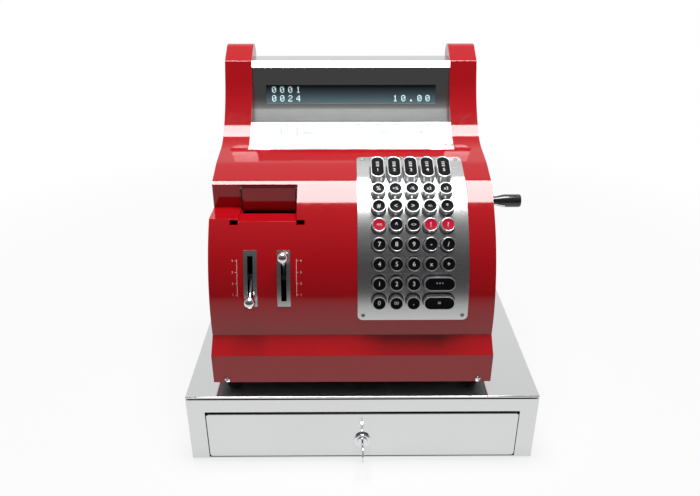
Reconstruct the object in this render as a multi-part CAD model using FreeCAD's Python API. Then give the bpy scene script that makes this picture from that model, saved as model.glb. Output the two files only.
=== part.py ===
import FreeCAD, Part
import math
import os

# Retro cash register with a curved keyboard, standing on a steel cash drawer.
# Millimetres, X to the right, Y to the back, Z up. Parts are drawn with Y counted from the front
# face of the drawer case and Z from the floor. X is counted from the middle of the drawer for the
# drawer and from the middle of the machine for the machine. Saving moves the origin to the bottom
# centre of the whole object.

Vector = FreeCAD.Vector

# Fits, how close two faces count as one, and how far a cutter reaches past what it cuts
running_clearance = 0.05
sliding_clearance = 0.3
seat_clearance = 0.2
touch = 0.01
over = 1.0

# Drawer case
drawer_width = 410.0
drawer_depth = 415.0
drawer_height = 92.0
case_wall = 1.2
drawer_foot_radius = 10.0
drawer_foot_height = 3.0
drawer_foot_inset = 24.0
foot_sides = 12
runner_width = 8.0
runner_thickness = 1.5
runner_lip = 9.0
runner_floor_gap = 5.0
runner_front = 15.0
runner_back = 15.0

# Drawer
front_width = 365.6
front_height = 64.8
front_drop = 23.5
front_proud = 2.5
front_thickness = 4.0
front_corner = 3.5
front_gap = 1.5
tray_wall = 1.2
tray_width = 352.0
tray_length = 336.0
tray_height = 52.0

# Till insert
till_height = 46.0
till_wall = 2.5
till_front_room = 24.0
till_side_room = 1.0
coin_bays = 5
coin_depth = 90.0
note_bays = 4
note_depth = 195.0

# Drawer lock
lock_drop = 62.0
collar_radius = 10.3
collar_proud = 3.5
collar_chamfer = 1.0
collar_sides = 16
sleeve_radius = 8.5
sleeve_length = 16.0
plug_radius = 6.2
plug_proud = 1.0
cam_length = 16.0
cam_thickness = 2.0
keyway_depth = 12.0
key_thickness = 2.2
key_blade_height = 7.0
key_bow_radius = 10.5
key_bow_hole = 3.0
key_bow_sides = 16
key_reach = 36.0
lock_reach = 40.0

# Housing outline, y from the apron and z from the lower edge
housing_width = 321.5
housing_depth = 293.0
housing_wall = 2.0
machine_offset = -11.75
machine_front = 13.0
apron_height = 36.5
ledge_depth = 18.0
ledge_rise = 16.5
barrel_radius = 164.0
crease_y = 100.0
crease_z = 213.5
brow_y = 129.0
brow_z = 223.0
brow_radius = 60.0
horn_root_y = 186.4
horn_root_z = 232.6
horn_root_radius = 64.0
horn_neck_y = 227.1
horn_neck_z = 273.7
horn_neck_radius = 125.0
horn_shoulder_y = 242.2
horn_shoulder_z = 320.3
horn_shoulder_radius = 18.0
horn_top_z = 349.6
horn_top_radius = 18.0
horn_width = 34.0
lip_y = 162.5
deck_z = 218.5

# Display between the horns
panel_thickness = 1.5
panel_recess = 6.0
panel_sink = 2.7
panel_top_z = 319.0
panel_top_rise = 3.2
panel_top_radius = 12.0
panel_back_inset = 8.0
window_width = 219.5
window_low = 267.5
window_high = 290.5
window_lap = 3.0
window_thickness = 2.0

# Printer notch in the upper left of the barrel
notch_wall_y = 93.0
notch_floor_z = 181.0
notch_right = -62.5
tongue_left = -128.3
tongue_drop = 2.5
relief_width = 9.2
relief_height = 5.0
relief_depth = 8.0
relief_lift = 1.25
slot_depth = 11.0
slot_wall_gap = 2.0

# Printer unit and flap
frame_thickness = 1.0
ear_thickness = 2.0
ear_half = 2.6
block_depth = 40.0
block_margin = 8.0
flap_thickness = 2.8
flap_gap = 1.6
flap_floor_gap = 0.6
flap_pin_radius = 1.25
flap_pin_height = 25.5
flap_edge = 1.4

# Base plate and feet of the machine
base_thickness = 1.5
base_flange = 11.0
machine_foot_radius = 10.0
machine_foot_height = 11.5
machine_foot_inset_x = 20.0
machine_foot_inset_y = 26.0

# Keyboard plate
plate_centre = 68.2
plate_width = 124.7
plate_thickness = 1.5
plate_low_run = 24.6
plate_top_run = 11.3
plate_corner = 6.0
plate_frame = 10.5

# Keys
column_pitch = 19.05
column_count = 5
key_centre = 67.9
row_pitch = 20.61
top_row_drop = 21.18
tall_row_run = 8.6
tall_row_tilt = 22.0
key_radius = 8.1
key_sides = 10
key_wall = 1.25
key_rise = 12.0
key_foot = 5.0
key_cap_sink = 0.6
key_travel = 4.0
stem_side = 4.0
stem_room = 1.5

# Key guide board
guide_thickness = 4.0
guide_frame = 2.0
post_side = 7.0
post_inset = 6.2

# Selector levers
lever_spots = (-113.9, -76.6)
lever_plate_width = 15.0
lever_plate_thickness = 1.2
lever_plate_drop = 120.2
lever_plate_length = 64.1
lever_plate_flats = 4
lever_slot_width = 6.0
lever_slot_length = 51.0
lever_slot_margin = 1.5
lever_pivot_depth = 16.0
lever_radius = 36.0
lever_swing = 44.0
lever_hub_radius = 4.5
lever_hub_width = 6.2
lever_pin_radius = 2.0
lever_root_radius = 2.4
lever_neck_radius = 1.7
knob_radius = 5.9
knob_bands = 6
lever_sides = 12
lug_thickness = 2.2
lug_width = 10.0

# Crank on the right side
crank_y = 172.0
crank_z = 83.5
grip_y = 137.0
grip_z = 170.5
crank_shaft_radius = 5.0
crank_shaft_length = 12.0
boss_radius = 8.0
boss_length = 8.0
boss_proud = 1.5
crank_gap = 0.5
crank_thickness = 5.0
crank_boss_radius = 11.0
crank_end_radius = 8.0
grip_pin_radius = 3.0
grip_length = 38.0
grip_neck_radius = 5.5
grip_radius = 8.0
grip_neck_length = 10.0
grip_end_chamfer = 2.5
grip_sides = 16

# Key rows on the barrel, from the top down; a short row ends in a wide key
key_rows = [
    ["upper_key_1", "upper_key_2", "upper_key_3", "upper_key_4", "upper_key_5"],
    ["middle_key_1", "middle_key_2", "middle_key_3", "middle_key_4", "middle_key_5"],
    ["command_key_1", "command_key_2", "command_key_3", "command_key_4", "command_key_5"],
    ["digit_key_7", "digit_key_8", "digit_key_9", "operator_key_1", "operator_key_2"],
    ["digit_key_4", "digit_key_5", "digit_key_6", "operator_key_3", "operator_key_4"],
    ["digit_key_1", "digit_key_2", "digit_key_3", "subtotal_key"],
    ["digit_key_0", "double_zero_key", "point_key", "total_key"],
]

# Levels that follow from the sizes above
drawer_top = drawer_foot_height + drawer_height
machine_floor = drawer_top + machine_foot_height
housing_half = housing_width / 2
horn_inside = housing_half - horn_width
middle_y = (drawer_depth - key_reach) / 2
guide_depth = key_foot + key_travel + stem_room
stem_length = key_travel + guide_thickness + 2 * stem_room
far = 400.0


def at(y, z):
    return Vector(0, machine_front + y, machine_floor + z)


def unit(vector):
    return vector * (1 / vector.Length)


def spot(x, point):
    return Vector(machine_offset + x, point.y, point.z)


def box(x0, x1, y0, y1, z0, z1):
    return Part.makeBox(x1 - x0, y1 - y0, z1 - z0, Vector(x0, y0, z0))


def machine_box(x0, x1, y0, y1, z0, z1):
    block = box(x0, x1, y0, y1, z0, z1)
    block.translate(spot(0, at(0, 0)))
    return block


def prism(face, x0, x1):
    solid = face.extrude(Vector(x1 - x0, 0, 0))
    solid.translate(Vector(machine_offset + x0, 0, 0))
    return solid


def polygon(points):
    return Part.Face(Part.makePolygon(list(points) + [points[0]]))


def rounded_path(corners):
    # straight edges through the corners, each corner rounded by an arc of its own radius
    edges = []
    start = corners[0][0]
    for (before, _), (corner, radius), (after, _) in zip(corners, corners[1:], corners[2:]):
        end = corner
        following = corner
        if radius > 0:
            to_before = unit(before - corner)
            to_after = unit(after - corner)
            half = to_before.getAngle(to_after) / 2
            bisector = unit(to_before + to_after)
            end = corner + to_before * (radius / math.tan(half))
            following = corner + to_after * (radius / math.tan(half))
            middle = corner + bisector * (radius / math.sin(half) - radius)
        edges.append(Part.makeLine(start, end))
        if radius > 0:
            edges.append(Part.Arc(end, middle, following).toShape())
        start = following
    edges.append(Part.makeLine(start, corners[-1][0]))
    return edges


def closed_face(edges):
    return Part.Face(Part.Wire(Part.__sortEdges__(edges)))


def regular(radius, sides, height):
    # corners of a regular polygon round local Z
    turns = [2 * math.pi * step / sides for step in range(sides)]
    return [Vector(radius * math.cos(a), radius * math.sin(a), height) for a in turns]


def turned(profile, sides):
    # turned shape in flat sides, through (radius, height) pairs along local Z
    rings = [regular(radius, sides, height) for radius, height in profile]
    faces = [polygon(rings[0][::-1]), polygon(rings[-1])]
    for low, high in zip(rings, rings[1:]):
        for side in range(sides):
            faces.append(polygon([low[side - 1], low[side], high[side], high[side - 1]]))
    shell = Part.makeShell(faces)
    shell.sewShape()
    return Part.makeSolid(shell)


apron_foot = at(0, 0)
apron_top = at(0, apron_height)
valley = at(ledge_depth, apron_height + ledge_rise)
crease = at(crease_y, crease_z)
brow = at(brow_y, brow_z)
horn_root = at(horn_root_y, horn_root_z)
back_foot = at(housing_depth, 0)


def find_barrel_centre():
    chord = crease - valley
    along = unit(chord)
    inward = Vector(0, along.z, -along.y)
    depth = math.sqrt(barrel_radius ** 2 - (chord.Length / 2) ** 2)
    return (valley + crease) * 0.5 + inward * depth


def barrel_span(length):
    return math.degrees(length / barrel_radius)


# Angles on the barrel, above the horizontal; lengths along it are counted down from the crease
barrel_centre = find_barrel_centre()
crease_angle = math.degrees(math.atan2(crease.z - barrel_centre.z, barrel_centre.y - crease.y))
row_pitch_angle = barrel_span(row_pitch)
lowest_row_angle = crease_angle - barrel_span(top_row_drop + (len(key_rows) - 1) * row_pitch)
plate_low_angle = lowest_row_angle - barrel_span(plate_low_run)
lever_plate_angle = crease_angle - barrel_span(lever_plate_drop)
lever_plate_span = barrel_span(lever_plate_length)
brow_along = unit(brow - crease)
top_along = unit(horn_root - brow)
top_normal = Vector(0, -top_along.z, top_along.y)


def barrel_direction(angle):
    # outward direction on the barrel, at an angle above the horizontal
    radians = math.radians(angle)
    return Vector(0, -math.cos(radians), math.sin(radians))


def on_barrel(angle, height):
    return barrel_centre + barrel_direction(angle) * (barrel_radius + height)


def seat(x, point, angle):
    # local Z points out of the barrel at the given angle above the horizontal
    return FreeCAD.Placement(spot(x, point), FreeCAD.Rotation(Vector(1, 0, 0), 90 - angle))


def front_edges():
    chord = unit(crease - valley)
    bulge = barrel_centre + Vector(0, -chord.z, chord.y) * barrel_radius
    edges = [Part.makeLine(apron_foot, apron_top), Part.makeLine(apron_top, valley)]
    edges.append(Part.Arc(valley, bulge, crease).toShape())
    return edges


def full_outline():
    # outline through a horn
    corners = [(crease, 0), (brow, brow_radius), (horn_root, horn_root_radius)]
    corners.append((at(horn_neck_y, horn_neck_z), horn_neck_radius))
    corners.append((at(horn_shoulder_y, horn_shoulder_z), horn_shoulder_radius))
    corners.append((at(housing_depth, horn_top_z), horn_top_radius))
    corners.append((back_foot, 0))
    bottom = Part.makeLine(back_foot, apron_foot)
    return closed_face(front_edges() + rounded_path(corners) + [bottom])


def low_outline():
    # outline between the horns, where a lip and a deck carry the display
    lip = brow + top_along * ((lip_y - brow_y) / top_along.y)
    corners = [(crease, 0), (brow, brow_radius), (lip, 0), (at(lip_y, deck_z), 0)]
    corners += [(at(housing_depth, deck_z), 0), (back_foot, 0)]
    bottom = Part.makeLine(back_foot, apron_foot)
    return closed_face(front_edges() + rounded_path(corners) + [bottom])


def shrunk(face, distance):
    return face.makeOffset2D(-distance)


def keyboard_wedge(frame):
    # region of the keyboard plate in side view, drawn in from its ends by a frame width
    low = barrel_direction(plate_low_angle + barrel_span(frame))
    top = brow + top_along * (plate_top_run - frame)
    inner = top - top_normal * (2 * guide_depth + guide_thickness)
    return polygon([barrel_centre, barrel_centre + low * far, top + low * far + top_normal * far,
                    top + top_normal * far, inner])


def flats_line(flats, start, end):
    # side view line through the meeting points of neighbouring flats, each a normal and a point
    points = [start]
    for (normal, point), (after, other) in zip(flats, flats[1:]):
        along = Vector(0, -normal.z, normal.y)
        points.append(point + along * (after.dot(other - point) / after.dot(along)))
    return points + [end]


def keyboard_line(height, frame):
    # keyboard surface in flats, one for each key row, at a height over the skin
    brow_normal = Vector(0, -brow_along.z, brow_along.y)
    angles = [lowest_row_angle + row * row_pitch_angle for row in range(-1, len(key_rows) + 1)]
    flats = [(barrel_direction(a), on_barrel(a, height)) for a in angles]
    flats.append((brow_normal, crease + brow_normal * height))
    flats.append((top_normal, brow + top_normal * height))
    low_angle = plate_low_angle + barrel_span(frame)
    reach = (barrel_radius + height) / math.cos(math.radians(angles[0] - low_angle))
    start = barrel_centre + barrel_direction(low_angle) * reach
    end = brow + top_along * (plate_top_run - frame) + top_normal * height
    return flats_line(flats, start, end)


def keyboard_sheet(low, high, frame):
    face = polygon(keyboard_line(high, frame) + keyboard_line(low, frame)[::-1])
    return prism(face, plate_left + frame, plate_right - frame)


def lever_line(height):
    # surface of a lever plate in flats, at a height over the skin
    half = lever_plate_span / 2
    step = lever_plate_span / lever_plate_flats
    angles = [lever_plate_angle - half + step * (flat + 0.5) for flat in range(lever_plate_flats)]
    flats = [(barrel_direction(a), on_barrel(a, height)) for a in angles]
    reach = (barrel_radius + height) / math.cos(math.radians(step / 2))
    ends = [barrel_centre + barrel_direction(lever_plate_angle + a) * reach for a in (-half, half)]
    return flats_line(flats, *ends)


def barrel_wedge(angle, span):
    half = span / 2
    low = barrel_direction(angle - half)
    high = barrel_direction(angle + half)
    start = barrel_radius / 2
    return polygon([barrel_centre + low * start, barrel_centre + low * far,
                    barrel_centre + high * far, barrel_centre + high * start])


plate_left = plate_centre - plate_width / 2
plate_right = plate_centre + plate_width / 2


def post_seats():
    # seats of the four posts that hold the guide board under the skin, near the plate's corners
    low_angle = plate_low_angle + barrel_span(post_inset)
    top_point = brow + top_along * (plate_top_run - post_inset)
    top_angle = math.degrees(math.atan2(top_normal.z, -top_normal.y))
    seats = []
    for x in (plate_left + post_inset, plate_right - post_inset):
        seats.append(seat(x, on_barrel(low_angle, 0), low_angle))
        seats.append(seat(x, top_point, top_angle))
    return seats


def column_x(column):
    return key_centre + (column - (column_count - 1) / 2) * column_pitch


def key_list():
    # name, placement, length along X and length along the slope of each key
    keys = []
    tall_point = crease + brow_along * tall_row_run
    for column in range(column_count):
        x = column_x(column)
        place = seat(x, tall_point, 90 - tall_row_tilt)
        keys.append(("department_key_%d" % (column + 1), place, 0, column_pitch))
    for row, names in enumerate(key_rows):
        angle = lowest_row_angle + (len(key_rows) - 1 - row) * row_pitch_angle
        for column, name in enumerate(names):
            wide = column_count - len(names) if column == len(names) - 1 else 0
            x = column_x(column + wide / 2)
            keys.append((name, seat(x, on_barrel(angle, 0), angle), wide * column_pitch, 0))
    return keys


def flat_sided(length_x, length_y, radius, low, high):
    # round or long key section with flat sides, pushed from low to high along local Z
    half_sides = key_sides // 2
    is_long = length_x + length_y > 0
    turn = math.atan2(length_y, length_x)
    points = []
    for end in (1, -1):
        for step in range(half_sides + is_long):
            angle = turn + math.pi * (step / half_sides - end / 2)
            points.append(Vector(end * length_x / 2 + radius * math.cos(angle),
                                 end * length_y / 2 + radius * math.sin(angle), low))
    return polygon(points).extrude(Vector(0, 0, high - low))


def square_peg(side, low, high):
    half = side / 2
    return box(-half, half, -half, half, low, high)


def key_solid(length_x, length_y):
    # cup with a rim round its sunk cap, on a square stem
    cup = flat_sided(length_x, length_y, key_radius, -key_foot, key_rise)
    sink = flat_sided(length_x, length_y, key_radius - key_wall, key_rise - key_cap_sink, key_rise)
    stem = square_peg(stem_side, -key_foot - stem_length, -key_foot)
    return cup.cut(sink).fuse(stem).removeSplitter()


def save(name, shapes):
    moved = Part.makeCompound(shapes) if len(shapes) > 1 else shapes[0]
    moved = moved.copy()
    moved.translate(Vector(0, -middle_y, 0))
    moved.exportStep("parts/" + name + ".step")


def runner(side):
    # angle welded to the case side: a shelf under the tray and a lip beside it
    tray_half = tray_width / 2
    inner = side * (tray_half - runner_width)
    outer = side * (drawer_width / 2 - case_wall)
    lip_near = side * (tray_half + sliding_clearance)
    lip_far = side * (tray_half + sliding_clearance + runner_thickness)
    shelf_top = drawer_foot_height + case_wall + runner_floor_gap + runner_thickness
    front = runner_front
    back = drawer_depth - runner_back
    shelf = box(min(inner, outer), max(inner, outer), front, back,
                shelf_top - runner_thickness, shelf_top)
    lip = box(min(lip_near, lip_far), max(lip_near, lip_far), front, back,
              shelf_top, shelf_top + runner_lip)
    return shelf.fuse(lip)


def front_low():
    return drawer_top - front_drop - front_height


def make_drawer_case():
    half = drawer_width / 2
    outer = box(-half, half, 0, drawer_depth, drawer_foot_height, drawer_top)
    inner = box(-half + case_wall, half - case_wall, case_wall, drawer_depth - case_wall,
                drawer_foot_height + case_wall, drawer_top - case_wall)
    opening_half = front_width / 2 + front_gap
    opening = box(-opening_half, opening_half, -case_wall, 2 * case_wall, front_low() - front_gap,
                  front_low() + front_height + front_gap)
    case = outer.cut(inner).cut(opening)
    return case.fuse([runner(-1), runner(1)]).removeSplitter()


def tray_low():
    shelf_top = drawer_foot_height + case_wall + runner_floor_gap + runner_thickness
    return shelf_top + sliding_clearance


def lock_height():
    return drawer_top - lock_drop


def along_y(radius, y0, y1, x, z):
    return Part.makeCylinder(radius, y1 - y0, Vector(x, y0, z), Vector(0, 1, 0))


def tray_front():
    return front_thickness - front_proud


def lock_hole():
    return along_y(sleeve_radius + seat_clearance, -lock_reach, lock_reach, 0, lock_height())


def make_drawer_tray():
    half = tray_width / 2
    start = tray_front()
    low = tray_low()
    outer = box(-half, half, start, start + tray_length, low, low + tray_height)
    inner = box(-half + tray_wall, half - tray_wall, start + tray_wall,
                start + tray_length - tray_wall, low + tray_wall, low + tray_height)
    return outer.cut(inner).cut(lock_hole())


def make_drawer_front():
    half = front_width / 2
    panel = box(-half, half, -front_proud, tray_front(), front_low(), front_low() + front_height)
    corners = [e for e in panel.Edges if e.BoundBox.YLength > front_thickness - touch]
    panel = panel.makeFillet(front_corner, corners)
    return panel.cut(lock_hole())


def till_start():
    return tray_front() + till_front_room


def till_floor():
    return tray_low() + tray_wall


def till_bays():
    # inner boxes of the coin bays in front and the note bays behind
    half = tray_width / 2 - tray_wall - till_side_room - till_wall
    low = till_floor() + till_wall
    high = till_floor() + till_height
    bays = []
    start = till_start() + till_wall
    for count, depth in ((coin_bays, coin_depth), (note_bays, note_depth)):
        width = (2 * half - (count - 1) * till_wall) / count
        for index in range(count):
            left = -half + index * (width + till_wall)
            bays.append((left, left + width, start, start + depth, low, high))
        start = start + depth + till_wall
    return bays


def make_till_insert():
    half = tray_width / 2 - tray_wall - till_side_room
    length = coin_depth + note_depth + 3 * till_wall
    block = box(-half, half, till_start(), till_start() + length, till_floor(),
                till_floor() + till_height)
    return block.cut([box(*bay) for bay in till_bays()])


def make_lock_collar():
    # flange in front of the panel and a sleeve through it, round the bore of the plug
    face = front_proud + collar_proud
    flange = [(collar_radius, front_proud), (collar_radius, face - collar_chamfer)]
    flange.append((collar_radius - collar_chamfer, face))
    sleeve = [(sleeve_radius, front_proud - sleeve_length), (sleeve_radius, front_proud)]
    collar = turned(flange, collar_sides).fuse(turned(sleeve, collar_sides))
    collar.Placement = FreeCAD.Placement(Vector(0, 0, lock_height()),
                                         FreeCAD.Rotation(Vector(1, 0, 0), 90))
    return collar.cut(along_y(plug_radius + running_clearance, -lock_reach, lock_reach, 0,
                              lock_height()))


def make_lock_plug():
    z = lock_height()
    face = -front_proud - collar_proud - plug_proud
    sleeve_end = -front_proud + sleeve_length
    plug = along_y(plug_radius, face, sleeve_end + sliding_clearance, 0, z)
    cam = box(-plug_radius, plug_radius, sleeve_end + sliding_clearance,
              sleeve_end + sliding_clearance + cam_thickness, z - plug_radius, z + cam_length)
    blade_half = key_thickness / 2
    way = box(-blade_half, blade_half, face - over, face + keyway_depth,
              z - key_blade_height / 2, z + key_blade_height / 2)
    blade = box(-blade_half, blade_half, -key_reach + key_bow_radius, face + keyway_depth,
                z - key_blade_height / 2, z + key_blade_height / 2)
    bow = polygon(regular(key_bow_radius, key_bow_sides, -blade_half))
    hole = polygon(regular(key_bow_hole, key_bow_sides // 2, -blade_half))
    hole.translate(Vector(0, -key_bow_radius / 2, 0))
    bow = bow.cut(hole).extrude(Vector(0, 0, key_thickness))
    bow.Placement = FreeCAD.Placement(Vector(0, -key_reach + key_bow_radius, z),
                                      FreeCAD.Rotation(Vector(0, 1, 0), 90))
    key = blade.fuse(bow).removeSplitter()
    return [plug.fuse(cam).cut(way).removeSplitter(), key]


def feet(centres, radius, low, high):
    # flat-sided feet on the given centres
    solids = []
    for x, y in centres:
        foot = polygon(regular(radius, foot_sides, low)).extrude(Vector(0, 0, high - low))
        foot.translate(Vector(x, y, 0))
        solids.append(foot)
    return solids


def drawer_foot_centres():
    x = drawer_width / 2 - drawer_foot_inset
    return [(a, b) for a in (-x, x) for b in (drawer_foot_inset, drawer_depth - drawer_foot_inset)]


def machine_foot_centres():
    x = housing_half - machine_foot_inset_x
    front = machine_front + machine_foot_inset_y
    back = machine_front + housing_depth - machine_foot_inset_y
    return [(machine_offset + a, b) for a in (-x, x) for b in (front, back)]


def make_rubber_feet():
    low_feet = feet(drawer_foot_centres(), drawer_foot_radius, 0, drawer_foot_height)
    high_feet = feet(machine_foot_centres(), machine_foot_radius, drawer_top, machine_floor)
    return low_feet + high_feet


def notch_cuts(grow):
    # the notch, open to the front and the left, and the lower tongue floor under the flap
    left = -housing_half - over
    front = -machine_front
    wall = notch_wall_y + grow
    top = horn_top_z
    notch = machine_box(left, notch_right + grow, front, wall, notch_floor_z - grow, top)
    tongue = machine_box(tongue_left - grow, notch_right + grow, front, wall,
                         notch_floor_z - tongue_drop - grow, top)
    return [notch, tongue]


def relief_cuts():
    # square bend reliefs at the two front corners of the tongue
    high = notch_floor_z - tongue_drop + relief_lift
    low = high - relief_height
    angle = math.asin((machine_floor + high - barrel_centre.z) / barrel_radius)
    front = barrel_centre.y - barrel_radius * math.cos(angle) - machine_front
    cuts = []
    for left in (tongue_left - relief_width, notch_right):
        cuts.append(machine_box(left, left + relief_width, -machine_front, front + relief_depth,
                                low, high))
    return cuts


def slot_limits():
    # paper slot in the tongue floor, in front of the flap
    back = notch_wall_y - slot_wall_gap
    return tongue_left + ear_thickness, notch_right - ear_thickness, back - slot_depth, back


def block_limits():
    left = tongue_left + block_margin
    right = notch_right - block_margin
    low = notch_floor_z + block_margin / 2
    high = notch_floor_z + flap_pin_height - block_margin
    return left, right, low, high


def crank_peg(radius, x0, x1):
    peg = Part.makeCylinder(radius, x1 - x0, Vector(x0, 0, 0), Vector(1, 0, 0))
    peg.translate(spot(0, at(crank_y, crank_z)))
    return peg


def make_housing_shell():
    body = prism(full_outline(), -housing_half, housing_half)
    gap = machine_box(-horn_inside, horn_inside, lip_y, housing_depth + over, deck_z,
                      horn_top_z + over)
    cavity_half = housing_half - housing_wall
    cavity = prism(shrunk(low_outline(), housing_wall), -cavity_half, cavity_half)
    cavity = cavity.cut(notch_cuts(housing_wall))
    horn_core = shrunk(full_outline(), housing_wall)
    left_core = prism(horn_core, -cavity_half, -horn_inside - housing_wall)
    left_core = left_core.cut(notch_cuts(housing_wall))
    right_core = prism(horn_core, horn_inside + housing_wall, cavity_half)
    mouth = machine_box(-cavity_half, cavity_half, housing_wall, housing_depth - housing_wall,
                        -over, 2 * housing_wall)
    shell = body.cut([gap] + notch_cuts(0) + [cavity, left_core, right_core, mouth])
    left, right, front, back = slot_limits()
    slot = machine_box(left, right, front, back, notch_floor_z - 3 * housing_wall - tongue_drop,
                       notch_floor_z)
    left, right, low, high = block_limits()
    window = machine_box(left - seat_clearance, right + seat_clearance, notch_wall_y - over,
                         notch_wall_y + 2 * housing_wall, low - seat_clearance,
                         high + seat_clearance)
    cuts = relief_cuts() + [slot, window]
    cuts.append(prism(keyboard_wedge(plate_frame), plate_left + plate_frame,
                      plate_right - plate_frame))
    for x in lever_spots:
        half = lever_plate_width / 2 - lever_slot_margin
        span = lever_plate_span - 2 * barrel_span(lever_slot_margin)
        cuts.append(prism(barrel_wedge(lever_plate_angle, span), x - half, x + half))
    boss = crank_peg(boss_radius, housing_half - boss_length, housing_half + boss_proud)
    cuts.append(crank_peg(crank_shaft_radius + running_clearance, housing_half - 2 * boss_length,
                          housing_half + 2 * boss_proud))
    return shell.fuse(boss).cut(cuts)


def make_base_plate():
    half = housing_half - housing_wall - seat_clearance
    front = housing_wall + seat_clearance
    back = housing_depth - housing_wall - seat_clearance
    outer = machine_box(-half, half, front, back, 0, base_flange)
    tray = machine_box(-half - over, half + over, front + base_thickness, back - base_thickness,
                       base_thickness, base_flange + over)
    return outer.cut(tray)


def panel_outline():
    root = at(horn_root_y + panel_recess, horn_root_z - panel_sink)
    run = (horn_root_y + panel_recess - lip_y - seat_clearance) / top_along.y
    start = root - top_along * run
    back_y = housing_depth - panel_back_inset
    corners = [(at(lip_y + seat_clearance, deck_z), 0), (start, 0), (root, horn_root_radius)]
    corners.append((at(horn_neck_y + panel_recess, horn_neck_z), horn_neck_radius))
    corners.append((at(horn_shoulder_y + panel_recess, panel_top_z), panel_top_radius))
    corners.append((at(back_y, panel_top_z + panel_top_rise), panel_top_radius))
    corners.append((at(back_y, deck_z), 0))
    bottom = Part.makeLine(corners[-1][0], corners[0][0])
    return closed_face(rounded_path(corners) + [bottom])


def make_display_panel():
    half = horn_inside - seat_clearance
    cover = prism(panel_outline(), -half, half)
    inside = prism(shrunk(panel_outline(), panel_thickness), -half - over, half + over)
    mouth = machine_box(-half - over, half + over, lip_y + seat_clearance + panel_thickness,
                        housing_depth - panel_back_inset - panel_thickness, deck_z - over,
                        deck_z + 2 * panel_thickness)
    window = machine_box(-window_width / 2, window_width / 2, lip_y, horn_shoulder_y + panel_recess,
                         window_low, window_high)
    return cover.cut([inside, mouth, window])


def make_display_window():
    half = window_width / 2 + window_lap
    back = horn_shoulder_y + panel_recess + 2 * panel_thickness
    pane = prism(shrunk(panel_outline(), panel_thickness), -half, half)
    core = prism(shrunk(panel_outline(), panel_thickness + window_thickness), -half - over,
                 half + over)
    zone = machine_box(-half, half, lip_y, back, window_low - window_lap, window_high + window_lap)
    return pane.cut(core).common(zone)


def flap_axis():
    return notch_wall_y - frame_thickness - flap_gap - flap_thickness / 2, \
        notch_floor_z - tongue_drop + flap_pin_height


def along_x(radius, x0, x1, y, z):
    rod = Part.makeCylinder(radius, x1 - x0, Vector(x0, 0, 0), Vector(1, 0, 0))
    rod.translate(spot(0, at(y, z)))
    return rod


def make_printer_unit():
    y, z = flap_axis()
    low = notch_floor_z - tongue_drop
    frame = machine_box(tongue_left, notch_right - seat_clearance, notch_wall_y - frame_thickness,
                        notch_wall_y, low, z + ear_half)
    left, right, block_low, block_high = block_limits()
    block = machine_box(left, right, notch_wall_y, notch_wall_y + block_depth, block_low, block_high)
    solid = frame.fuse(block)
    for x in (tongue_left, notch_right - seat_clearance - ear_thickness):
        ear = machine_box(x, x + ear_thickness, y - ear_half, notch_wall_y, z - ear_half, z + ear_half)
        hole = along_x(flap_pin_radius + running_clearance, x - over, x + ear_thickness + over, y, z)
        solid = solid.fuse(ear).cut(hole)
    return solid.removeSplitter()


def make_printer_flap():
    y, z = flap_axis()
    left = tongue_left + ear_thickness + sliding_clearance
    right = notch_right - seat_clearance - ear_thickness - sliding_clearance
    half = flap_thickness / 2
    low = notch_floor_z - tongue_drop + flap_floor_gap
    sheet = machine_box(left, right, y - half, y + half, low, z + flap_edge)
    pins = [along_x(flap_pin_radius, tongue_left, left + half, y, z)]
    pins.append(along_x(flap_pin_radius, right - half, notch_right - seat_clearance, y, z))
    return sheet.fuse(pins).removeSplitter()


def make_keyboard_plate(keys):
    sheet = keyboard_sheet(0, plate_thickness, 0)
    corners = [e for e in sheet.Edges if abs(e.Length - plate_thickness) < touch]
    sheet = sheet.makeFillet(plate_corner, corners)
    holes = []
    for _, place, length_x, length_y in keys:
        hole = flat_sided(length_x, length_y, key_radius + sliding_clearance, -key_foot, key_rise)
        hole.Placement = place
        holes.append(hole)
    return sheet.cut(holes)


def make_key_guide_board(keys):
    # bent board with a square way for each stem, on posts that reach up to the skin
    board = keyboard_sheet(-guide_depth - guide_thickness, -guide_depth, guide_frame)
    inside = prism(shrunk(full_outline(), housing_wall), -housing_half, housing_half)
    posts = []
    for place in post_seats():
        post = square_peg(post_side, -guide_depth - guide_thickness / 2, 0)
        post.Placement = place
        posts.append(post.common(inside))
    ways = []
    for _, place, _, _ in keys:
        way = square_peg(stem_side + 2 * seat_clearance, -2 * guide_depth, 0)
        way.Placement = place
        ways.append(way)
    return board.fuse(posts).cut(ways).removeSplitter()


def lever_pivot():
    return on_barrel(lever_plate_angle, -lever_pivot_depth)


def make_lever_plate(x):
    half = lever_plate_width / 2
    sheet = prism(polygon(lever_line(lever_plate_thickness) + lever_line(0)[::-1]), x - half, x + half)
    place = seat(x, on_barrel(lever_plate_angle, 0), lever_plate_angle)
    slot = box(-lever_slot_width / 2, lever_slot_width / 2, -lever_slot_length / 2,
               lever_slot_length / 2, -2 * housing_wall, 2 * lever_plate_thickness)
    slot.Placement = place
    plate = sheet.cut(slot)
    inner = lever_hub_width / 2 + sliding_clearance
    depth = lever_pivot_depth + lug_width / 2
    for left in (-inner - lug_thickness, inner):
        lug = box(left, left + lug_thickness, -lug_width / 2, lug_width / 2, -depth,
                  lever_plate_thickness / 2)
        lug.Placement = place
        plate = plate.fuse(lug)
    bore = Part.makeCylinder(lever_pin_radius + running_clearance, lever_plate_width,
                             spot(x - half, lever_pivot()), Vector(1, 0, 0))
    return plate.cut(bore).removeSplitter()


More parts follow.
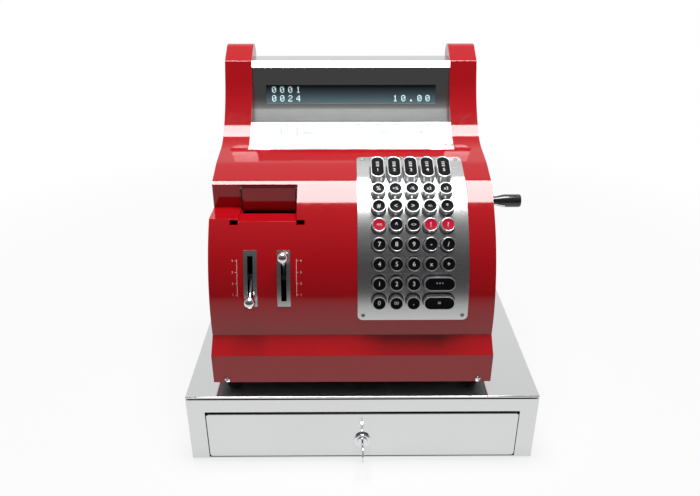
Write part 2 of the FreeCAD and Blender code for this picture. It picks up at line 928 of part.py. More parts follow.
def make_lever(x, angle):
    # ball knob on a tapered rod, with a hub and two pins at the pivot
    pivot = lever_pivot()
    neck_turn = -math.acos(lever_neck_radius / knob_radius)
    profile = [(lever_root_radius, 0)]
    for band in range(knob_bands):
        turn = neck_turn + (math.pi / 2 - neck_turn) * band / knob_bands
        profile.append((knob_radius * math.cos(turn), lever_radius + knob_radius * math.sin(turn)))
    rod = turned(profile, lever_sides)
    hub_half = lever_hub_width / 2
    hub = turned([(lever_hub_radius, -hub_half), (lever_hub_radius, hub_half)], lever_sides)
    hub.rotate(Vector(0, 0, 0), Vector(0, 1, 0), 90)
    pin_half = hub_half + sliding_clearance + lug_thickness
    pin = Part.makeCylinder(lever_pin_radius, 2 * pin_half, Vector(-pin_half, 0, 0),
                            Vector(1, 0, 0))
    lever = rod.fuse([hub, pin]).removeSplitter()
    lever.Placement = seat(x, pivot, angle)
    return lever


def crank_start():
    return housing_half + boss_proud + crank_gap


def link_face(first, first_radius, second, second_radius):
    # two round ends joined by their common tangents
    along = unit(second - first)
    across = Vector(0, -along.z, along.y)
    turn = math.acos((first_radius - second_radius) / (second - first).Length)
    upper = along * math.cos(turn) + across * math.sin(turn)
    lower = along * math.cos(turn) - across * math.sin(turn)
    edges = [Part.makeLine(first + upper * first_radius, second + upper * second_radius),
             Part.makeLine(second + lower * second_radius, first + lower * first_radius)]
    edges.append(Part.Arc(second + upper * second_radius, second + along * second_radius,
                          second + lower * second_radius).toShape())
    edges.append(Part.Arc(first + lower * first_radius, first - along * first_radius,
                          first + upper * first_radius).toShape())
    return closed_face(edges)


def make_crank_arm():
    start = crank_start()
    end = start + crank_thickness
    arm = prism(link_face(at(crank_y, crank_z), crank_boss_radius, at(grip_y, grip_z),
                          crank_end_radius), start, end)
    shaft = crank_peg(crank_shaft_radius, start - crank_shaft_length, start)
    pin_end = end + crank_gap + grip_length - grip_end_chamfer
    pin = along_x(grip_pin_radius, end, pin_end, grip_y, grip_z)
    return arm.fuse([shaft, pin]).removeSplitter()


def make_crank_grip():
    # turned grip: narrow neck, a taper and a chamfered end, with a blind bore for its pin
    start = crank_start() + crank_thickness + crank_gap
    end = start + grip_length
    bore_end = end - grip_end_chamfer + crank_gap
    bore = grip_pin_radius + running_clearance
    profile = [(grip_neck_radius, 0), (grip_neck_radius, grip_neck_length)]
    profile += [(grip_radius, 2 * grip_neck_length), (grip_radius, grip_length - grip_end_chamfer)]
    profile.append((grip_radius - grip_end_chamfer, grip_length))
    grip = turned(profile, grip_sides)
    grip = grip.cut(Part.makeCylinder(bore, bore_end - start))
    grip.Placement = FreeCAD.Placement(spot(start, at(grip_y, grip_z)),
                                       FreeCAD.Rotation(Vector(0, 1, 0), 90))
    return grip


def build():
    os.makedirs("parts", exist_ok=True)
    keys = key_list()
    save("drawer_case", [make_drawer_case()])
    save("drawer_tray", [make_drawer_tray()])
    save("drawer_front", [make_drawer_front()])
    save("till_insert", [make_till_insert()])
    save("lock_collar", [make_lock_collar()])
    save("lock_plug", make_lock_plug())
    save("rubber_feet", make_rubber_feet())
    save("housing_shell", [make_housing_shell()])
    save("base_plate", [make_base_plate()])
    save("display_panel", [make_display_panel()])
    save("display_window", [make_display_window()])
    save("printer_unit", [make_printer_unit()])
    save("printer_flap", [make_printer_flap()])
    save("keyboard_plate", [make_keyboard_plate(keys)])
    save("key_guide_board", [make_key_guide_board(keys)])
    for name, place, length_x, length_y in keys:
        key = key_solid(length_x, length_y)
        key.Placement = place
        save(name, [key])
    save("lever_plates", [make_lever_plate(x) for x in lever_spots])
    save("mode_lever", [make_lever(lever_spots[0], lever_plate_angle - lever_swing)])
    save("clerk_lever", [make_lever(lever_spots[1], lever_plate_angle + lever_swing)])
    save("crank_arm", [make_crank_arm()])
    save("crank_grip", [make_crank_grip()])


build()
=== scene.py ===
import bpy
import bmesh
from math import acos, atan2, cos, degrees, hypot, pi, radians, sin, sqrt, tan
from mathutils import Matrix, Vector


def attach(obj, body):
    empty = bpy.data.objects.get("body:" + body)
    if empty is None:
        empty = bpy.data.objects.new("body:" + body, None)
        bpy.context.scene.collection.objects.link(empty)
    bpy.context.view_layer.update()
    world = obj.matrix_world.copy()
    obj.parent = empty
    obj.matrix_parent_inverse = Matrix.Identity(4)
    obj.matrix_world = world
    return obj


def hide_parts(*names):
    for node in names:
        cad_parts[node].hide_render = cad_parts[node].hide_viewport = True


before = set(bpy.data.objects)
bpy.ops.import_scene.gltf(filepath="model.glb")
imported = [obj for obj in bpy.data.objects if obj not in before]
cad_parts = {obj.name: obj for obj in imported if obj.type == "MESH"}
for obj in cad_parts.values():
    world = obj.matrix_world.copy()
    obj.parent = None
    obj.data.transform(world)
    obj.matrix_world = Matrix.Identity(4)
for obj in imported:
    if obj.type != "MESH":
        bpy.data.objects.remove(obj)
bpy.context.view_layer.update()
scene = bpy.context.scene
mm = 0.001
machineShift = Vector((-11.75, -176.5, 106.5))   # the machine's own zero, in mm of the row frame
drawerShift = Vector((0, -189.5, 0))             # front face of the drawer case, on the floor


# camera, stage and light
view = {"place": (-0.0187, -0.8071, 0.5897), "pitch": 26.17, "yaw": 0.38, "lens": 34.45, "sensor": 36.0,
        "nearest": 0.01}
stage = {"size": 7.0, "white": (0.8, 0.8, 0.8), "glow": 0.8, "fade": (0.35, 1.1), "backdrop": 1.0,
         "fill": 0.07, "mirror": (0.06, 0.86), "front": (-1.7, -0.3)}
softbox = {"size": (1.1, 0.76), "place": (0.0, -0.12, 1.85), "radiance": 15.0}
# what mirrors see of the room, by degrees from the front over the top to the back
roomLevels = {0: 0.07, 24: 0.07, 42: 0.13, 60: 0.2, 74: 0.24, 100: 0.4, 112: 0.55, 150: 0.85, 180: 0.95}


def linked(name, data):
    thing = bpy.data.objects.new(name, data)
    scene.collection.objects.link(thing)
    return thing


def pick(values, names):
    return [values[name] for name in names.split()]


def nodeTree(owner):
    owner.use_nodes = True
    nodes = owner.node_tree.nodes
    nodes.clear()

    def add(kind, inputs=(), **values):
        node = nodes.new("ShaderNode" + kind)
        for name, value in values.items():
            setattr(node, name, value)
        for socket, value in dict(inputs).items():
            node.inputs[socket].default_value = value
        return node

    return add, owner.node_tree.links


def mapRange(add, source, target=(0, 1)):
    return add("MapRange", {"From Min": source[0], "From Max": source[1], "To Min": target[0],
                            "To Max": target[1]})


def wire(links, *joints):
    # each joint: a socket or a node's first output, the node it goes to, and that node's input
    for source, target, socket in joints:
        links.new(getattr(source, "outputs", [source])[0], target.inputs[socket])


def seenDirectly(add, links):
    # 1 for rays from the camera and for mirror and glass rays, 0 for diffuse light
    path = add("LightPath")
    first = add("Math", operation="MAXIMUM")
    second = add("Math", operation="MAXIMUM")
    wire(links, (path.outputs["Is Camera Ray"], first, 0), (path.outputs["Is Glossy Ray"], first, 1),
         (first, second, 0), (path.outputs["Is Transmission Ray"], second, 1))
    return second.outputs[0], path.outputs["Is Camera Ray"]


def makeCamera():
    data = bpy.data.cameras.new("camera")
    data.lens = view["lens"]
    data.sensor_width = view["sensor"]
    data.sensor_fit = "HORIZONTAL"
    data.clip_start = view["nearest"]
    camera = linked("camera", data)
    camera.location = view["place"]
    camera.rotation_euler = (radians(90 - view["pitch"]), 0, radians(-view["yaw"]))
    scene.camera = camera


def makeFloor():
    half = stage["size"] / 2
    mesh = bpy.data.meshes.new("floor")
    mesh.from_pydata([(-half, -half, 0), (half, -half, 0), (half, half, 0), (-half, half, 0)], [],
                     [(0, 1, 2, 3)])
    floor = linked("floor", mesh)
    material = bpy.data.materials.new("floor_white")
    add, links = nodeTree(material)
    out = add("OutputMaterial")
    matte = add("BsdfDiffuse", {"Color": (*stage["white"], 1)})
    glow = add("Emission")
    mix = add("MixShader")
    direct, camera = seenDirectly(add, links)
    # far from the object the floor fades into the white backdrop
    place = add("TexCoord")
    distance = add("VectorMath", operation="LENGTH")
    fade = mapRange(add, stage["fade"], (stage["glow"], 1))
    share = add("Math", operation="MULTIPLY")
    wire(links, (place.outputs["Object"], distance, 0), (distance.outputs["Value"], fade, "Value"),
         (fade, share, 0), (direct, share, 1), (share, mix, 0), (matte, mix, 1), (glow, mix, 2))
    # mirrors see the floor darken towards the front of the room
    split = add("SeparateXYZ")
    ahead = mapRange(add, stage["front"], stage["mirror"])
    level = add("Math", operation="MAXIMUM")
    wire(links, (place.outputs["Object"], split, 0), (split.outputs["Y"], ahead, "Value"), (ahead, level, 0),
         (camera, level, 1), (level, glow, "Strength"), (mix, out, "Surface"))
    mesh.materials.append(material)


def makeLight():
    data = bpy.data.lights.new("softbox", "AREA")
    data.shape = "RECTANGLE"
    data.size, data.size_y = softbox["size"]
    data.energy = softbox["radiance"] * pi * data.size * data.size_y
    linked("softbox", data).location = softbox["place"]


def makeRoom():
    # studio round the object: dark in front, a white backdrop behind
    world = bpy.data.worlds.new("studio")
    scene.world = world
    add, links = nodeTree(world)
    out = add("OutputWorld")
    place = add("TexCoord")
    split = add("SeparateXYZ")
    forward = add("Math", {1: -1}, operation="MULTIPLY")
    turn = add("Math", operation="ARCTAN2")
    share = mapRange(add, (0, pi))
    ramp = add("ValToRGB")
    marks = ramp.color_ramp.elements
    while len(marks) < len(roomLevels):
        marks.new(0.5)
    for mark, (angle, level) in zip(marks, roomLevels.items()):
        mark.position = angle / 180
        mark.color = (level, level, level, 1)
    direct, camera = seenDirectly(add, links)
    soft = add("Background", {"Strength": stage["fill"]})
    mirror = add("Background")
    white = add("Background", {"Color": (1, 1, 1, 1), "Strength": stage["backdrop"]})
    first = add("MixShader")
    second = add("MixShader")
    wire(links, (place.outputs["Generated"], split, 0), (split.outputs["Y"], forward, 0),
         (split.outputs["Z"], turn, 0), (forward, turn, 1), (turn, share, "Value"), (share, ramp, 0),
         (ramp, mirror, "Color"), (direct, first, 0), (soft, first, 1), (mirror, first, 2),
         (camera, second, 0), (first, second, 1), (white, second, 2), (second, out, 0))


scene.view_settings.view_transform = "Standard"
makeCamera()
makeFloor()
makeLight()
makeRoom()
print("camera, floor and light")


# finishes: what each has unless its own line says otherwise
plainLook = {"metal": 0, "coat": 0, "coatRough": 0.03, "gloss": 0.5, "cloud": 0.06, "cloudScale": 14,
             "cloudDetail": 4, "grainScale": 300, "grainDetail": 5, "grainStretch": (1, 1, 1),
             "grainSpan": (0.3, 0.7), "roughSpread": 0.04, "leastRough": 0.01, "bump": 0.05,
             "bumpDepth": 0.0001}


def finish(name, ownLook):
    look = {**plainLook, **ownLook}
    material = bpy.data.materials.new(name)
    add, links = nodeTree(material)
    out = add("OutputMaterial")
    shader = add("BsdfPrincipled", {
        "Metallic": look["metal"], "Coat Weight": look["coat"], "Coat Roughness": look["coatRough"],
        "Specular IOR Level": look["gloss"]})
    if "light" in look:
        shader.inputs["Emission Color"].default_value = (*look["colour"], 1)
        shader.inputs["Emission Strength"].default_value = look["light"]
    place = add("TexCoord")
    # slow change of colour
    cloud = add("TexNoise", {"Scale": look["cloudScale"], "Detail": look["cloudDetail"]})
    dark, pale = ([min(1, part * share) for part in look["colour"]]
                  for share in (1 - look["cloud"], 1 + look["cloud"]))
    tint = add("Mix", {"A": (*dark, 1), "B": (*pale, 1)}, data_type="RGBA")
    wire(links, (shader, out, 0), (place.outputs["Object"], cloud, "Vector"),
         (cloud.outputs["Fac"], tint, "Factor"))
    colour = tint.outputs["Result"]
    if "lower" in look:
        # painted reflection: a paler colour towards the lower edge, as on the display pane
        split = add("SeparateXYZ")
        height = mapRange(add, look["heights"])
        fade = add("Mix", {"A": (*look["lower"], 1)}, data_type="RGBA")
        wire(links, (place.outputs["Object"], split, 0), (split.outputs["Z"], height, "Value"),
             (height, fade, "Factor"), (colour, fade, "B"))
        colour = fade.outputs["Result"]
    # fine grain: gloss varies and the surface is not quite even
    stretch = add("Mapping", {"Scale": look["grainStretch"]})
    grain = add("TexNoise", {"Scale": look["grainScale"], "Detail": look["grainDetail"]})
    rough, spread = look["rough"], look["roughSpread"]
    polish = mapRange(add, look["grainSpan"], (max(look["leastRough"], rough - spread), rough + spread))
    bump = add("Bump", {"Strength": look["bump"], "Distance": look["bumpDepth"]})
    wire(links, (colour, shader, "Base Color"), (place.outputs["Object"], stretch, 0),
         (stretch, grain, "Vector"), (grain.outputs["Fac"], polish, "Value"), (polish, shader, "Roughness"),
         (grain.outputs["Fac"], bump, "Height"), (bump, shader, "Normal"))
    return material


# what the bent steel sheets share, and what the parts of a key share
brushed = {"colour": (0.66, 0.665, 0.67), "metal": 1, "cloud": 0.03, "grainScale": 60,
           "grainStretch": (1, 40, 40)}
keyLook = {"cloudScale": 200, "grainScale": 900, "bump": 0.04, "bumpDepth": 0.00005}
looks = {
    "redLacquer": {"colour": (0.41, 0.0035, 0.008), "rough": 0.08, "coat": 0.2, "coatRough": 0.02,
                   "cloud": 0.05, "grainScale": 160, "bump": 0.025, "bumpDepth": 0.0003, "roughSpread": 0.03},
    "plateSteel": {**brushed, "rough": 0.26, "bump": 0.008, "roughSpread": 0.015},
    "panelSteel": {**brushed, "rough": 0.18, "bump": 0.006, "roughSpread": 0.012},
    "drawerSteel": {"colour": (0.76, 0.765, 0.77), "metal": 1, "rough": 0.13, "cloud": 0.03, "cloudScale": 9,
                    "grainScale": 50, "grainStretch": (1, 36, 36), "bump": 0.02},
    "chrome": {"colour": (0.82, 0.83, 0.84), "metal": 1, "rough": 0.07, "cloud": 0.04, "cloudScale": 90,
               "grainScale": 400, "bump": 0.02, "roughSpread": 0.03},
    "capBlack": {**keyLook, "colour": (0.004, 0.004, 0.005), "rough": 0.45, "gloss": 0.07, "cloud": 0.2},
    "capRed": {**keyLook, "colour": (0.5, 0.008, 0.035), "rough": 0.4, "gloss": 0.15, "cloud": 0.08},
    "rimChrome": {**keyLook, "colour": (0.8, 0.805, 0.81), "metal": 1, "rough": 0.3, "cloud": 0.04,
                  "bump": 0.02, "roughSpread": 0.03},
    "legendWhite": {"colour": (0.82, 0.82, 0.8), "rough": 0.5, "cloud": 0.08, "cloudScale": 900,
                    "bumpDepth": 0.00003},
    "scaleWhite": {"colour": (0.85, 0.6, 0.6), "rough": 0.45, "cloud": 0.1, "cloudScale": 500,
                   "bumpDepth": 0.00003},
    "gripBlack": {"colour": (0.014, 0.014, 0.016), "rough": 0.16, "coat": 0.6, "cloud": 0.2,
                  "grainScale": 500, "bump": 0.03},
    "rubber": {"colour": (0.02, 0.02, 0.021), "rough": 0.65, "cloud": 0.3, "grainScale": 1200, "bump": 0.3},
    # the display pane's paler colour towards its lower edge is a painted reflection
    "darkPane": {"colour": (0.01, 0.013, 0.022), "lower": (0.1, 0.155, 0.175), "heights": (0.374, 0.397),
                 "rough": 0.3, "gloss": 0.3, "grainScale": 700, "bump": 0.02, "bumpDepth": 0.00005},
    "litDot": {"colour": (0.62, 0.86, 0.92), "rough": 0.4, "cloud": 0.05, "light": 0.75, "cloudScale": 900,
               "bumpDepth": 0.0002},
    "greySteel": {"colour": (0.3, 0.31, 0.32), "metal": 0.6, "rough": 0.42, "cloud": 0.1, "grainScale": 500,
                  "bump": 0.12},
    "darkPlastic": {"colour": (0.035, 0.035, 0.038), "rough": 0.5, "cloud": 0.15, "grainScale": 1400,
                    "bump": 0.25},
}
finishes = {name: finish(name, look) for name, look in looks.items()}
print("finishes", len(finishes))


# mesh tools, all in mm until a piece is settled
def newObject(name, bm):
    mesh = bpy.data.meshes.new(name)
    bm.normal_update()
    bm.to_mesh(mesh)
    bm.free()
    return linked(name, mesh)


def solve(piece):
    # the modifiers become the mesh
    bpy.context.view_layer.update()
    graph = bpy.context.evaluated_depsgraph_get()
    mesh = bpy.data.meshes.new_from_object(piece.evaluated_get(graph))
    piece.modifiers.clear()
    old = piece.data
    piece.data = mesh
    bpy.data.meshes.remove(old)
    return piece


def drop(piece):
    mesh = piece.data
    bpy.data.objects.remove(piece)
    bpy.data.meshes.remove(mesh)


def carve(piece, cutters):
    for cutter in cutters:
        step = piece.modifiers.new("carve", "BOOLEAN")
        step.operation = "DIFFERENCE"
        step.solver = "EXACT"
        step.object = cutter
    solve(piece)
    for cutter in cutters:
        drop(cutter)
    return piece


def softEdges(piece, width, segments=3, angle=28):
    step = piece.modifiers.new("edges", "BEVEL")
    step.width = width
    step.segments = segments
    step.limit_method = "ANGLE"
    step.angle_limit = radians(angle)
    step.use_clamp_overlap = True
    step.miter_outer = "MITER_ARC"
    return solve(piece)


def joined(name, pieces):
    base = pieces[0]
    bm = bmesh.new()
    for piece in pieces:
        bm.from_mesh(piece.data)
    bm.to_mesh(base.data)
    bm.free()
    for piece in pieces[1:]:
        drop(piece)
    base.name = name
    return base


def settle(piece, body, materials, nodes=(), angle=30, weighted=True, shift=machineShift):
    mesh = piece.data
    mesh.transform(Matrix.Scale(mm, 4) @ Matrix.Translation(shift))
    for name in materials:
        mesh.materials.append(finishes[name])
    mesh.shade_smooth()
    mesh.set_sharp_from_angle(angle=radians(angle))
    if weighted:
        step = piece.modifiers.new("shading", "WEIGHTED_NORMAL")
        step.keep_sharp = True
        step.weight = 80
    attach(piece, body)
    if nodes:
        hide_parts(*nodes)
    return piece


def cadCopy(node, name, width):
    # the solid's own shape with eased edges
    bm = bmesh.new()
    bm.from_mesh(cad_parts[node].data)
    bmesh.ops.remove_doubles(bm, verts=bm.verts, dist=1e-6)
    bmesh.ops.dissolve_limit(bm, angle_limit=radians(1), verts=bm.verts, edges=bm.edges)
    bmesh.ops.scale(bm, vec=(1000, 1000, 1000), verts=bm.verts)
    return softEdges(newObject(name, bm), width, 2)


def block(name, low, high):
    bm = bmesh.new()
    bmesh.ops.create_cube(bm, size=1)
    size = [h - l for l, h in zip(low, high)]
    middle = [(h + l) / 2 for l, h in zip(low, high)]
    bmesh.ops.transform(bm, matrix=Matrix.Translation(middle) @ Matrix.Diagonal((*size, 1)), verts=bm.verts)
    return newObject(name, bm)


def slab(name, points, x0, x1):
    # outline in (y, z) pushed along X
    bm = bmesh.new()
    near = [bm.verts.new((x0, y, z)) for y, z in points]
    far = [bm.verts.new((x1, y, z)) for y, z in points]
    count = len(points)
    bm.faces.new(near)
    bm.faces.new(far[::-1])
    for i in range(count):
        j = (i + 1) % count
        bm.faces.new((near[j], near[i], far[i], far[j]))
    bmesh.ops.recalc_face_normals(bm, faces=bm.faces)
    return newObject(name, bm)


def loft(bm, rings, capLow=True, capHigh=True, material=0):
    loops = [[bm.verts.new(point) for point in ring] for ring in rings]
    count = len(loops[0])
    made = []
    for low, high in zip(loops, loops[1:]):
        for i in range(count):
            j = (i + 1) % count
            made.append(bm.faces.new((low[i], low[j], high[j], high[i])))
    if capLow:
        made.append(bm.faces.new(loops[0][::-1]))
    if capHigh:
        made.append(bm.faces.new(loops[-1]))
    for face in made:
        face.material_index = material
    return made


def stadium(lengthX, lengthY, radius, height, sides):
    # round outline, drawn out along X or Y
    turn = atan2(lengthY, lengthX) if lengthX + lengthY else 0
    half = sides // 2
    points = []
    for end in (1, -1):
        for step in range(half + 1):
            angle = turn + pi * (step / half - 0.5) + (0 if end == 1 else pi)
            points.append((end * lengthX / 2 + radius * cos(angle),
                           end * lengthY / 2 + radius * sin(angle), height))
    return points if lengthX + lengthY else points[:half] + points[half + 1:-1]


def lathe(bm, profile, sides):
    turns = [2 * pi * i / sides for i in range(sides)]
    return loft(bm, [[(radius * cos(a), radius * sin(a), height) for a in turns]
                     for radius, height in profile])


def placed(piece, matrix):
    piece.data.transform(matrix)
    return piece


def tipped(spot, axis):
    # lays the Z axis along X (turned about "Y") or along -Y (turned about "X")
    return Matrix.Translation(spot) @ Matrix.Rotation(pi / 2, 4, axis)


def turned(name, profile, sides, matrix=Matrix()):
    bm = bmesh.new()
    lathe(bm, profile, sides)
    return placed(newObject(name, bm), matrix)


def roundedBox(x0, x1, y0, y1, corner, steps=8):
    outline = []
    for cx, cy, start in ((x1 - corner, y0 + corner, -90), (x1 - corner, y1 - corner, 0),
                          (x0 + corner, y1 - corner, 90), (x0 + corner, y0 + corner, 180)):
        for i in range(steps + 1):
            a = radians(start + 90 * i / steps)
            outline.append((cx + corner * cos(a), cy + corner * sin(a)))
    return outline


def roundedLine(corners, step):
    # (y, z, radius) corners to points, each corner rounded by its own arc in steps of degrees
    points = [Vector(corners[0][:2])]
    for before, corner, after in zip(corners, corners[1:], corners[2:]):
        here, radius = Vector(corner[:2]), corner[2]
        if radius == 0:
            points.append(here)
            continue
        back = (Vector(before[:2]) - here).normalized()
        on = (Vector(after[:2]) - here).normalized()
        half = back.angle(on) / 2
        middle = here + (back + on).normalized() * (radius / sin(half))
        start = here + back * (radius / tan(half)) - middle
        end = here + on * (radius / tan(half)) - middle
        sweep = start.angle_signed(end)
        count = max(2, round(abs(degrees(sweep)) / step))
        for i in range(count + 1):
            a = -sweep * i / count
            points.append(middle + Vector((start.x * cos(a) - start.y * sin(a),
                                           start.x * sin(a) + start.y * cos(a))))
    points.append(Vector(corners[-1][:2]))
    return points


def inset(points, distance):
    # closed outline moved inwards
    count = len(points)
    area = sum(points[i - 1].x * points[i].y - points[i].x * points[i - 1].y for i in range(count))
    sign = 1 if area > 0 else -1
    moved = []
    for i in range(count):
        first = (points[i] - points[i - 1]).normalized()
        second = (points[(i + 1) % count] - points[i]).normalized()
        one = Vector((-first.y, first.x)) * sign
        two = Vector((-second.y, second.x)) * sign
        both = one + two
        moved.append(points[i] + both * (distance * 2 / both.length_squared))
    return moved


# how far cutters reach past what they cut
reach = {"spare": 5, "front": -20, "top": 400, "wedge": 300, "inner": 80}

# housing outline, in (y, z) and (y, z, radius)
housing = {"half": 160.75, "depth": 293.0, "wall": 2.0, "apron": 36.5, "valley": (18.0, 53.0), "radius": 164.0,
           "arcSteps": 44, "cornerStep": 3, "crease": (100.0, 213.5), "brow": (129.0, 223.0, 60.0),
           "hornRoot": (186.4, 232.6, 64.0), "hornNeck": (224.6, 275.6, 125.0),
           "hornShoulder": (242.2, 320.3, 2.5), "hornTop": (349.5, 18.0), "hornWidth": 34.0, "lipY": 162.5,
           "deckZ": 218.5, "edge": (1.1, 3, 20), "notchWall": 93.0, "notchFloor": 181.0, "notchRight": -62.5,
           "tongueLeft": -128.3, "tongueDrop": 2.5, "relief": (9.2, 5.0, 8.0, 1.25), "slotDepth": 11.0,
           "slotGap": 2.0, "slotHeights": (6.0, 3.0), "ear": 2.0, "paperWindow": (7.8, 184.8, 198.7, 97.0)}
browSpot = Vector(housing["brow"][:2])


def barrelCentre():
    valley, crease = Vector(housing["valley"]), Vector(housing["crease"])
    chord = crease - valley
    along = chord.normalized()
    depth = sqrt(housing["radius"] ** 2 - (chord.length / 2) ** 2)
    return (valley + crease) / 2 + Vector((along.y, -along.x)) * depth


centre = barrelCentre()


def barrelDirection(angle):
    return Vector((-cos(radians(angle)), sin(radians(angle))))


def runAt(angle):
    return radians(angle) * housing["radius"]


def angleAt(run):
    return degrees(run / housing["radius"])


def angleOf(point):
    return degrees(atan2(point[1] - centre.y, centre.x - point[0]))


def barrelArc(a0, a1, count):
    return [centre + barrelDirection(a0 + (a1 - a0) * i / count) * housing["radius"] for i in range(count + 1)]


valleyAngle, creaseAngle = angleOf(housing["valley"]), angleOf(housing["crease"])
topAlong = (Vector(housing["hornRoot"][:2]) - browSpot).normalized()


def frontLine():
    arc = barrelArc(valleyAngle, creaseAngle, housing["arcSteps"])
    return [Vector((0, 0)), Vector((0, housing["apron"]))] + arc


def fullOutline():
    corners = [(*housing["crease"], 0), housing["brow"], housing["hornRoot"], housing["hornNeck"],
               housing["hornShoulder"], (housing["depth"], *housing["hornTop"]), (housing["depth"], 0, 0)]
    return frontLine() + roundedLine(corners, housing["cornerStep"])[1:]


def lowOutline():
    lipY, deckZ, depth = pick(housing, "lipY deckZ depth")
    lip = browSpot + topAlong * ((lipY - browSpot.x) / topAlong.x)
    corners = [(*housing["crease"], 0), housing["brow"], (lip.x, lip.y, 0), (lipY, deckZ, 0), (depth, deckZ, 0),
               (depth, 0, 0)]
    return frontLine() + roundedLine(corners, housing["cornerStep"])[1:]


# the housing is cut for the keyboard, the levers and the crank, so their values stand before it
keyboard = {"centre": 68.2, "width": 124.7, "thickness": 1.5, "lowAngle": 1.2, "topRun": 11.3, "corner": 6.0,
            "edge": (0.35, 2, 40), "frame": 10.5, "wedgeDepth": 25.0, "keyCentre": 67.9, "pitch": 19.05,
            "rowPitch": 20.61, "topRowDrop": 21.18, "tallRun": 8.6, "tallTilt": 22.0, "hole": 8.75,
            "holeSides": 44, "holeCut": (-5, 8)}
# levers' dark height: below it the rod is painted dark, as shade down inside the slot
levers = {"spots": (-113.9, -76.6), "width": 15.0, "thickness": 1.2, "drop": 120.2, "length": 64.1,
          "corner": 0.8, "edge": (0.3, 2, 40), "bendStep": 2.5, "slot": (6.0, 51.0), "hole": (6.0, 1.5),
          "lugs": (-5.6, 3.4), "lug": (2.2, 5.0, -21.0, 0.5), "lugEdge": (0.5, 2), "pivotDepth": 16.0,
          "radius": 36.0, "swing": 44.0, "knob": 6.7, "knobSteps": 17, "sides": (36, 28), "dark": 24.0,
          "rod": ((2.4, 0), (2.3, 12)), "neck": 1.7,
          "hub": ((2, -5.6), (2, -3.1), (4.1, -3.1), (4.5, -2.7), (4.5, 2.7), (4.1, 3.1), (2, 3.1), (2, 5.6))}
leverAngle = creaseAngle - angleAt(levers["drop"])
boss = {"place": (172.0, 83.5), "back": 8.0, "sides": 40,
        "profile": ((5.05, 0), (8, 0), (8, 9), (7.6, 9.4), (5.4, 9.5), (5.05, 9.3), (5.05, 0.2))}


def notchBlocks(grow):
    left, front, top = -housing["half"] - reach["spare"], reach["front"], reach["top"]
    right, wall = housing["notchRight"] + grow, housing["notchWall"] + grow
    floor, tongue = housing["notchFloor"] - grow, housing["tongueLeft"] - grow
    return [block("notch", (left, front, floor), (right, wall, top)),
            block("tongue", (tongue, front, floor - housing["tongueDrop"]), (right, wall, top))]


def keyboardWedge(margin):
    low = barrelDirection(keyboard["lowAngle"] + angleAt(margin))
    normal = Vector((-topAlong.y, topAlong.x))
    top = browSpot + topAlong * (keyboard["topRun"] - margin)
    far = reach["wedge"]
    return [centre, centre + low * far, top + low * far + normal * far, top + normal * far,
            top - normal * keyboard["wedgeDepth"]]


def frontCuts():
    # paper slot, reliefs and window of the notch, then the holes under keyboard and levers
    floor = housing["notchFloor"] - housing["tongueDrop"]
    back = housing["notchWall"] - housing["slotGap"]
    left, right, ear = pick(housing, "tongueLeft notchRight ear")
    under, over = housing["slotHeights"]
    cuts = [block("paper", (left + ear, back - housing["slotDepth"], floor - under),
                  (right - ear, back, floor + over))]
    width, height, deep, lift = housing["relief"]
    front = centre.x - sqrt(housing["radius"] ** 2 - (floor + lift - centre.y) ** 2)
    for start in (left - width, right):
        cuts.append(block("relief", (start, reach["front"], floor + lift - height),
                          (start + width, front + deep, floor + lift)))
    side, low, high, end = housing["paperWindow"]
    cuts.append(block("window", (left + side, housing["notchWall"] - 1, low), (right - side, end, high)))
    half = keyboard["width"] / 2 - keyboard["frame"]
    cuts.append(slab("keyHole", keyboardWedge(keyboard["frame"]), keyboard["centre"] - half,
                     keyboard["centre"] + half))
    half, margin = levers["hole"]
    span = angleAt(levers["length"] / 2 - margin)
    low, high = barrelDirection(leverAngle - span), barrelDirection(leverAngle + span)
    near, far = reach["inner"], reach["wedge"]
    for x in levers["spots"]:
        wedge = [centre + low * near, centre + low * far, centre + high * far, centre + high * near]
        cuts.append(slab("leverHole", wedge, x - half, x + half))
    return cuts


def makeHousing():
    half, wall, depth = pick(housing, "half wall depth")
    inside, spare = half - housing["hornWidth"], reach["spare"]
    body = slab("housing", fullOutline(), -half, half)
    gap = block("gap", (-inside, housing["lipY"], housing["deckZ"]), (inside, depth + spare, reach["top"]))
    carve(body, [gap] + notchBlocks(0))
    softEdges(body, *housing["edge"])
    low = inset(lowOutline(), wall)
    full = inset(fullOutline(), wall)
    cavity = carve(slab("cavity", low, -half + wall, half - wall), notchBlocks(wall))
    leftCore = carve(slab("leftCore", full, -half + wall, -inside - wall), notchBlocks(wall))
    rightCore = slab("rightCore", full, inside + wall, half - wall)
    mouth = block("mouth", (-half + wall, wall, -spare), (half - wall, depth - wall, 2 * wall))
    carve(body, [cavity, leftCore, rightCore, mouth])
    carve(body, frontCuts())
    seat = tipped((half - boss["back"], *boss["place"]), "Y")
    bearing = turned("bearing", boss["profile"], boss["sides"], seat)
    body = joined("housing", [body, bearing])
    settle(body, "cabinet", ["redLacquer"], ["housing_shell"], 24)
    print("housing", len(body.data.polygons))


makeHousing()


# bent sheets: drawn flat as (x, along the skin, height), then laid on the skin
skinFrom = {"angle": -4, "arcSteps": 130, "browStep": 1}


def skinLine():
    line = barrelArc(skinFrom["angle"], creaseAngle, skinFrom["arcSteps"])
    root = housing["hornRoot"]
    top = [(*housing["crease"], 0), housing["brow"], (root[0], root[1], 0)]
    return line + roundedLine(top, skinFrom["browStep"])[1:]


def skinTable():
    line, run, table = skinLine(), 0, []
    for i, point in enumerate(line):
        if i:
            run += (point - line[i - 1]).length
        before, after = line[max(0, i - 1)], line[min(len(line) - 1, i + 1)]
        along = (after - before).normalized()
        table.append((run, point, Vector((-along.y, along.x))))
    return table


skin = skinTable()
skinStart = runAt(skinFrom["angle"])
creaseRun = runAt(creaseAngle)


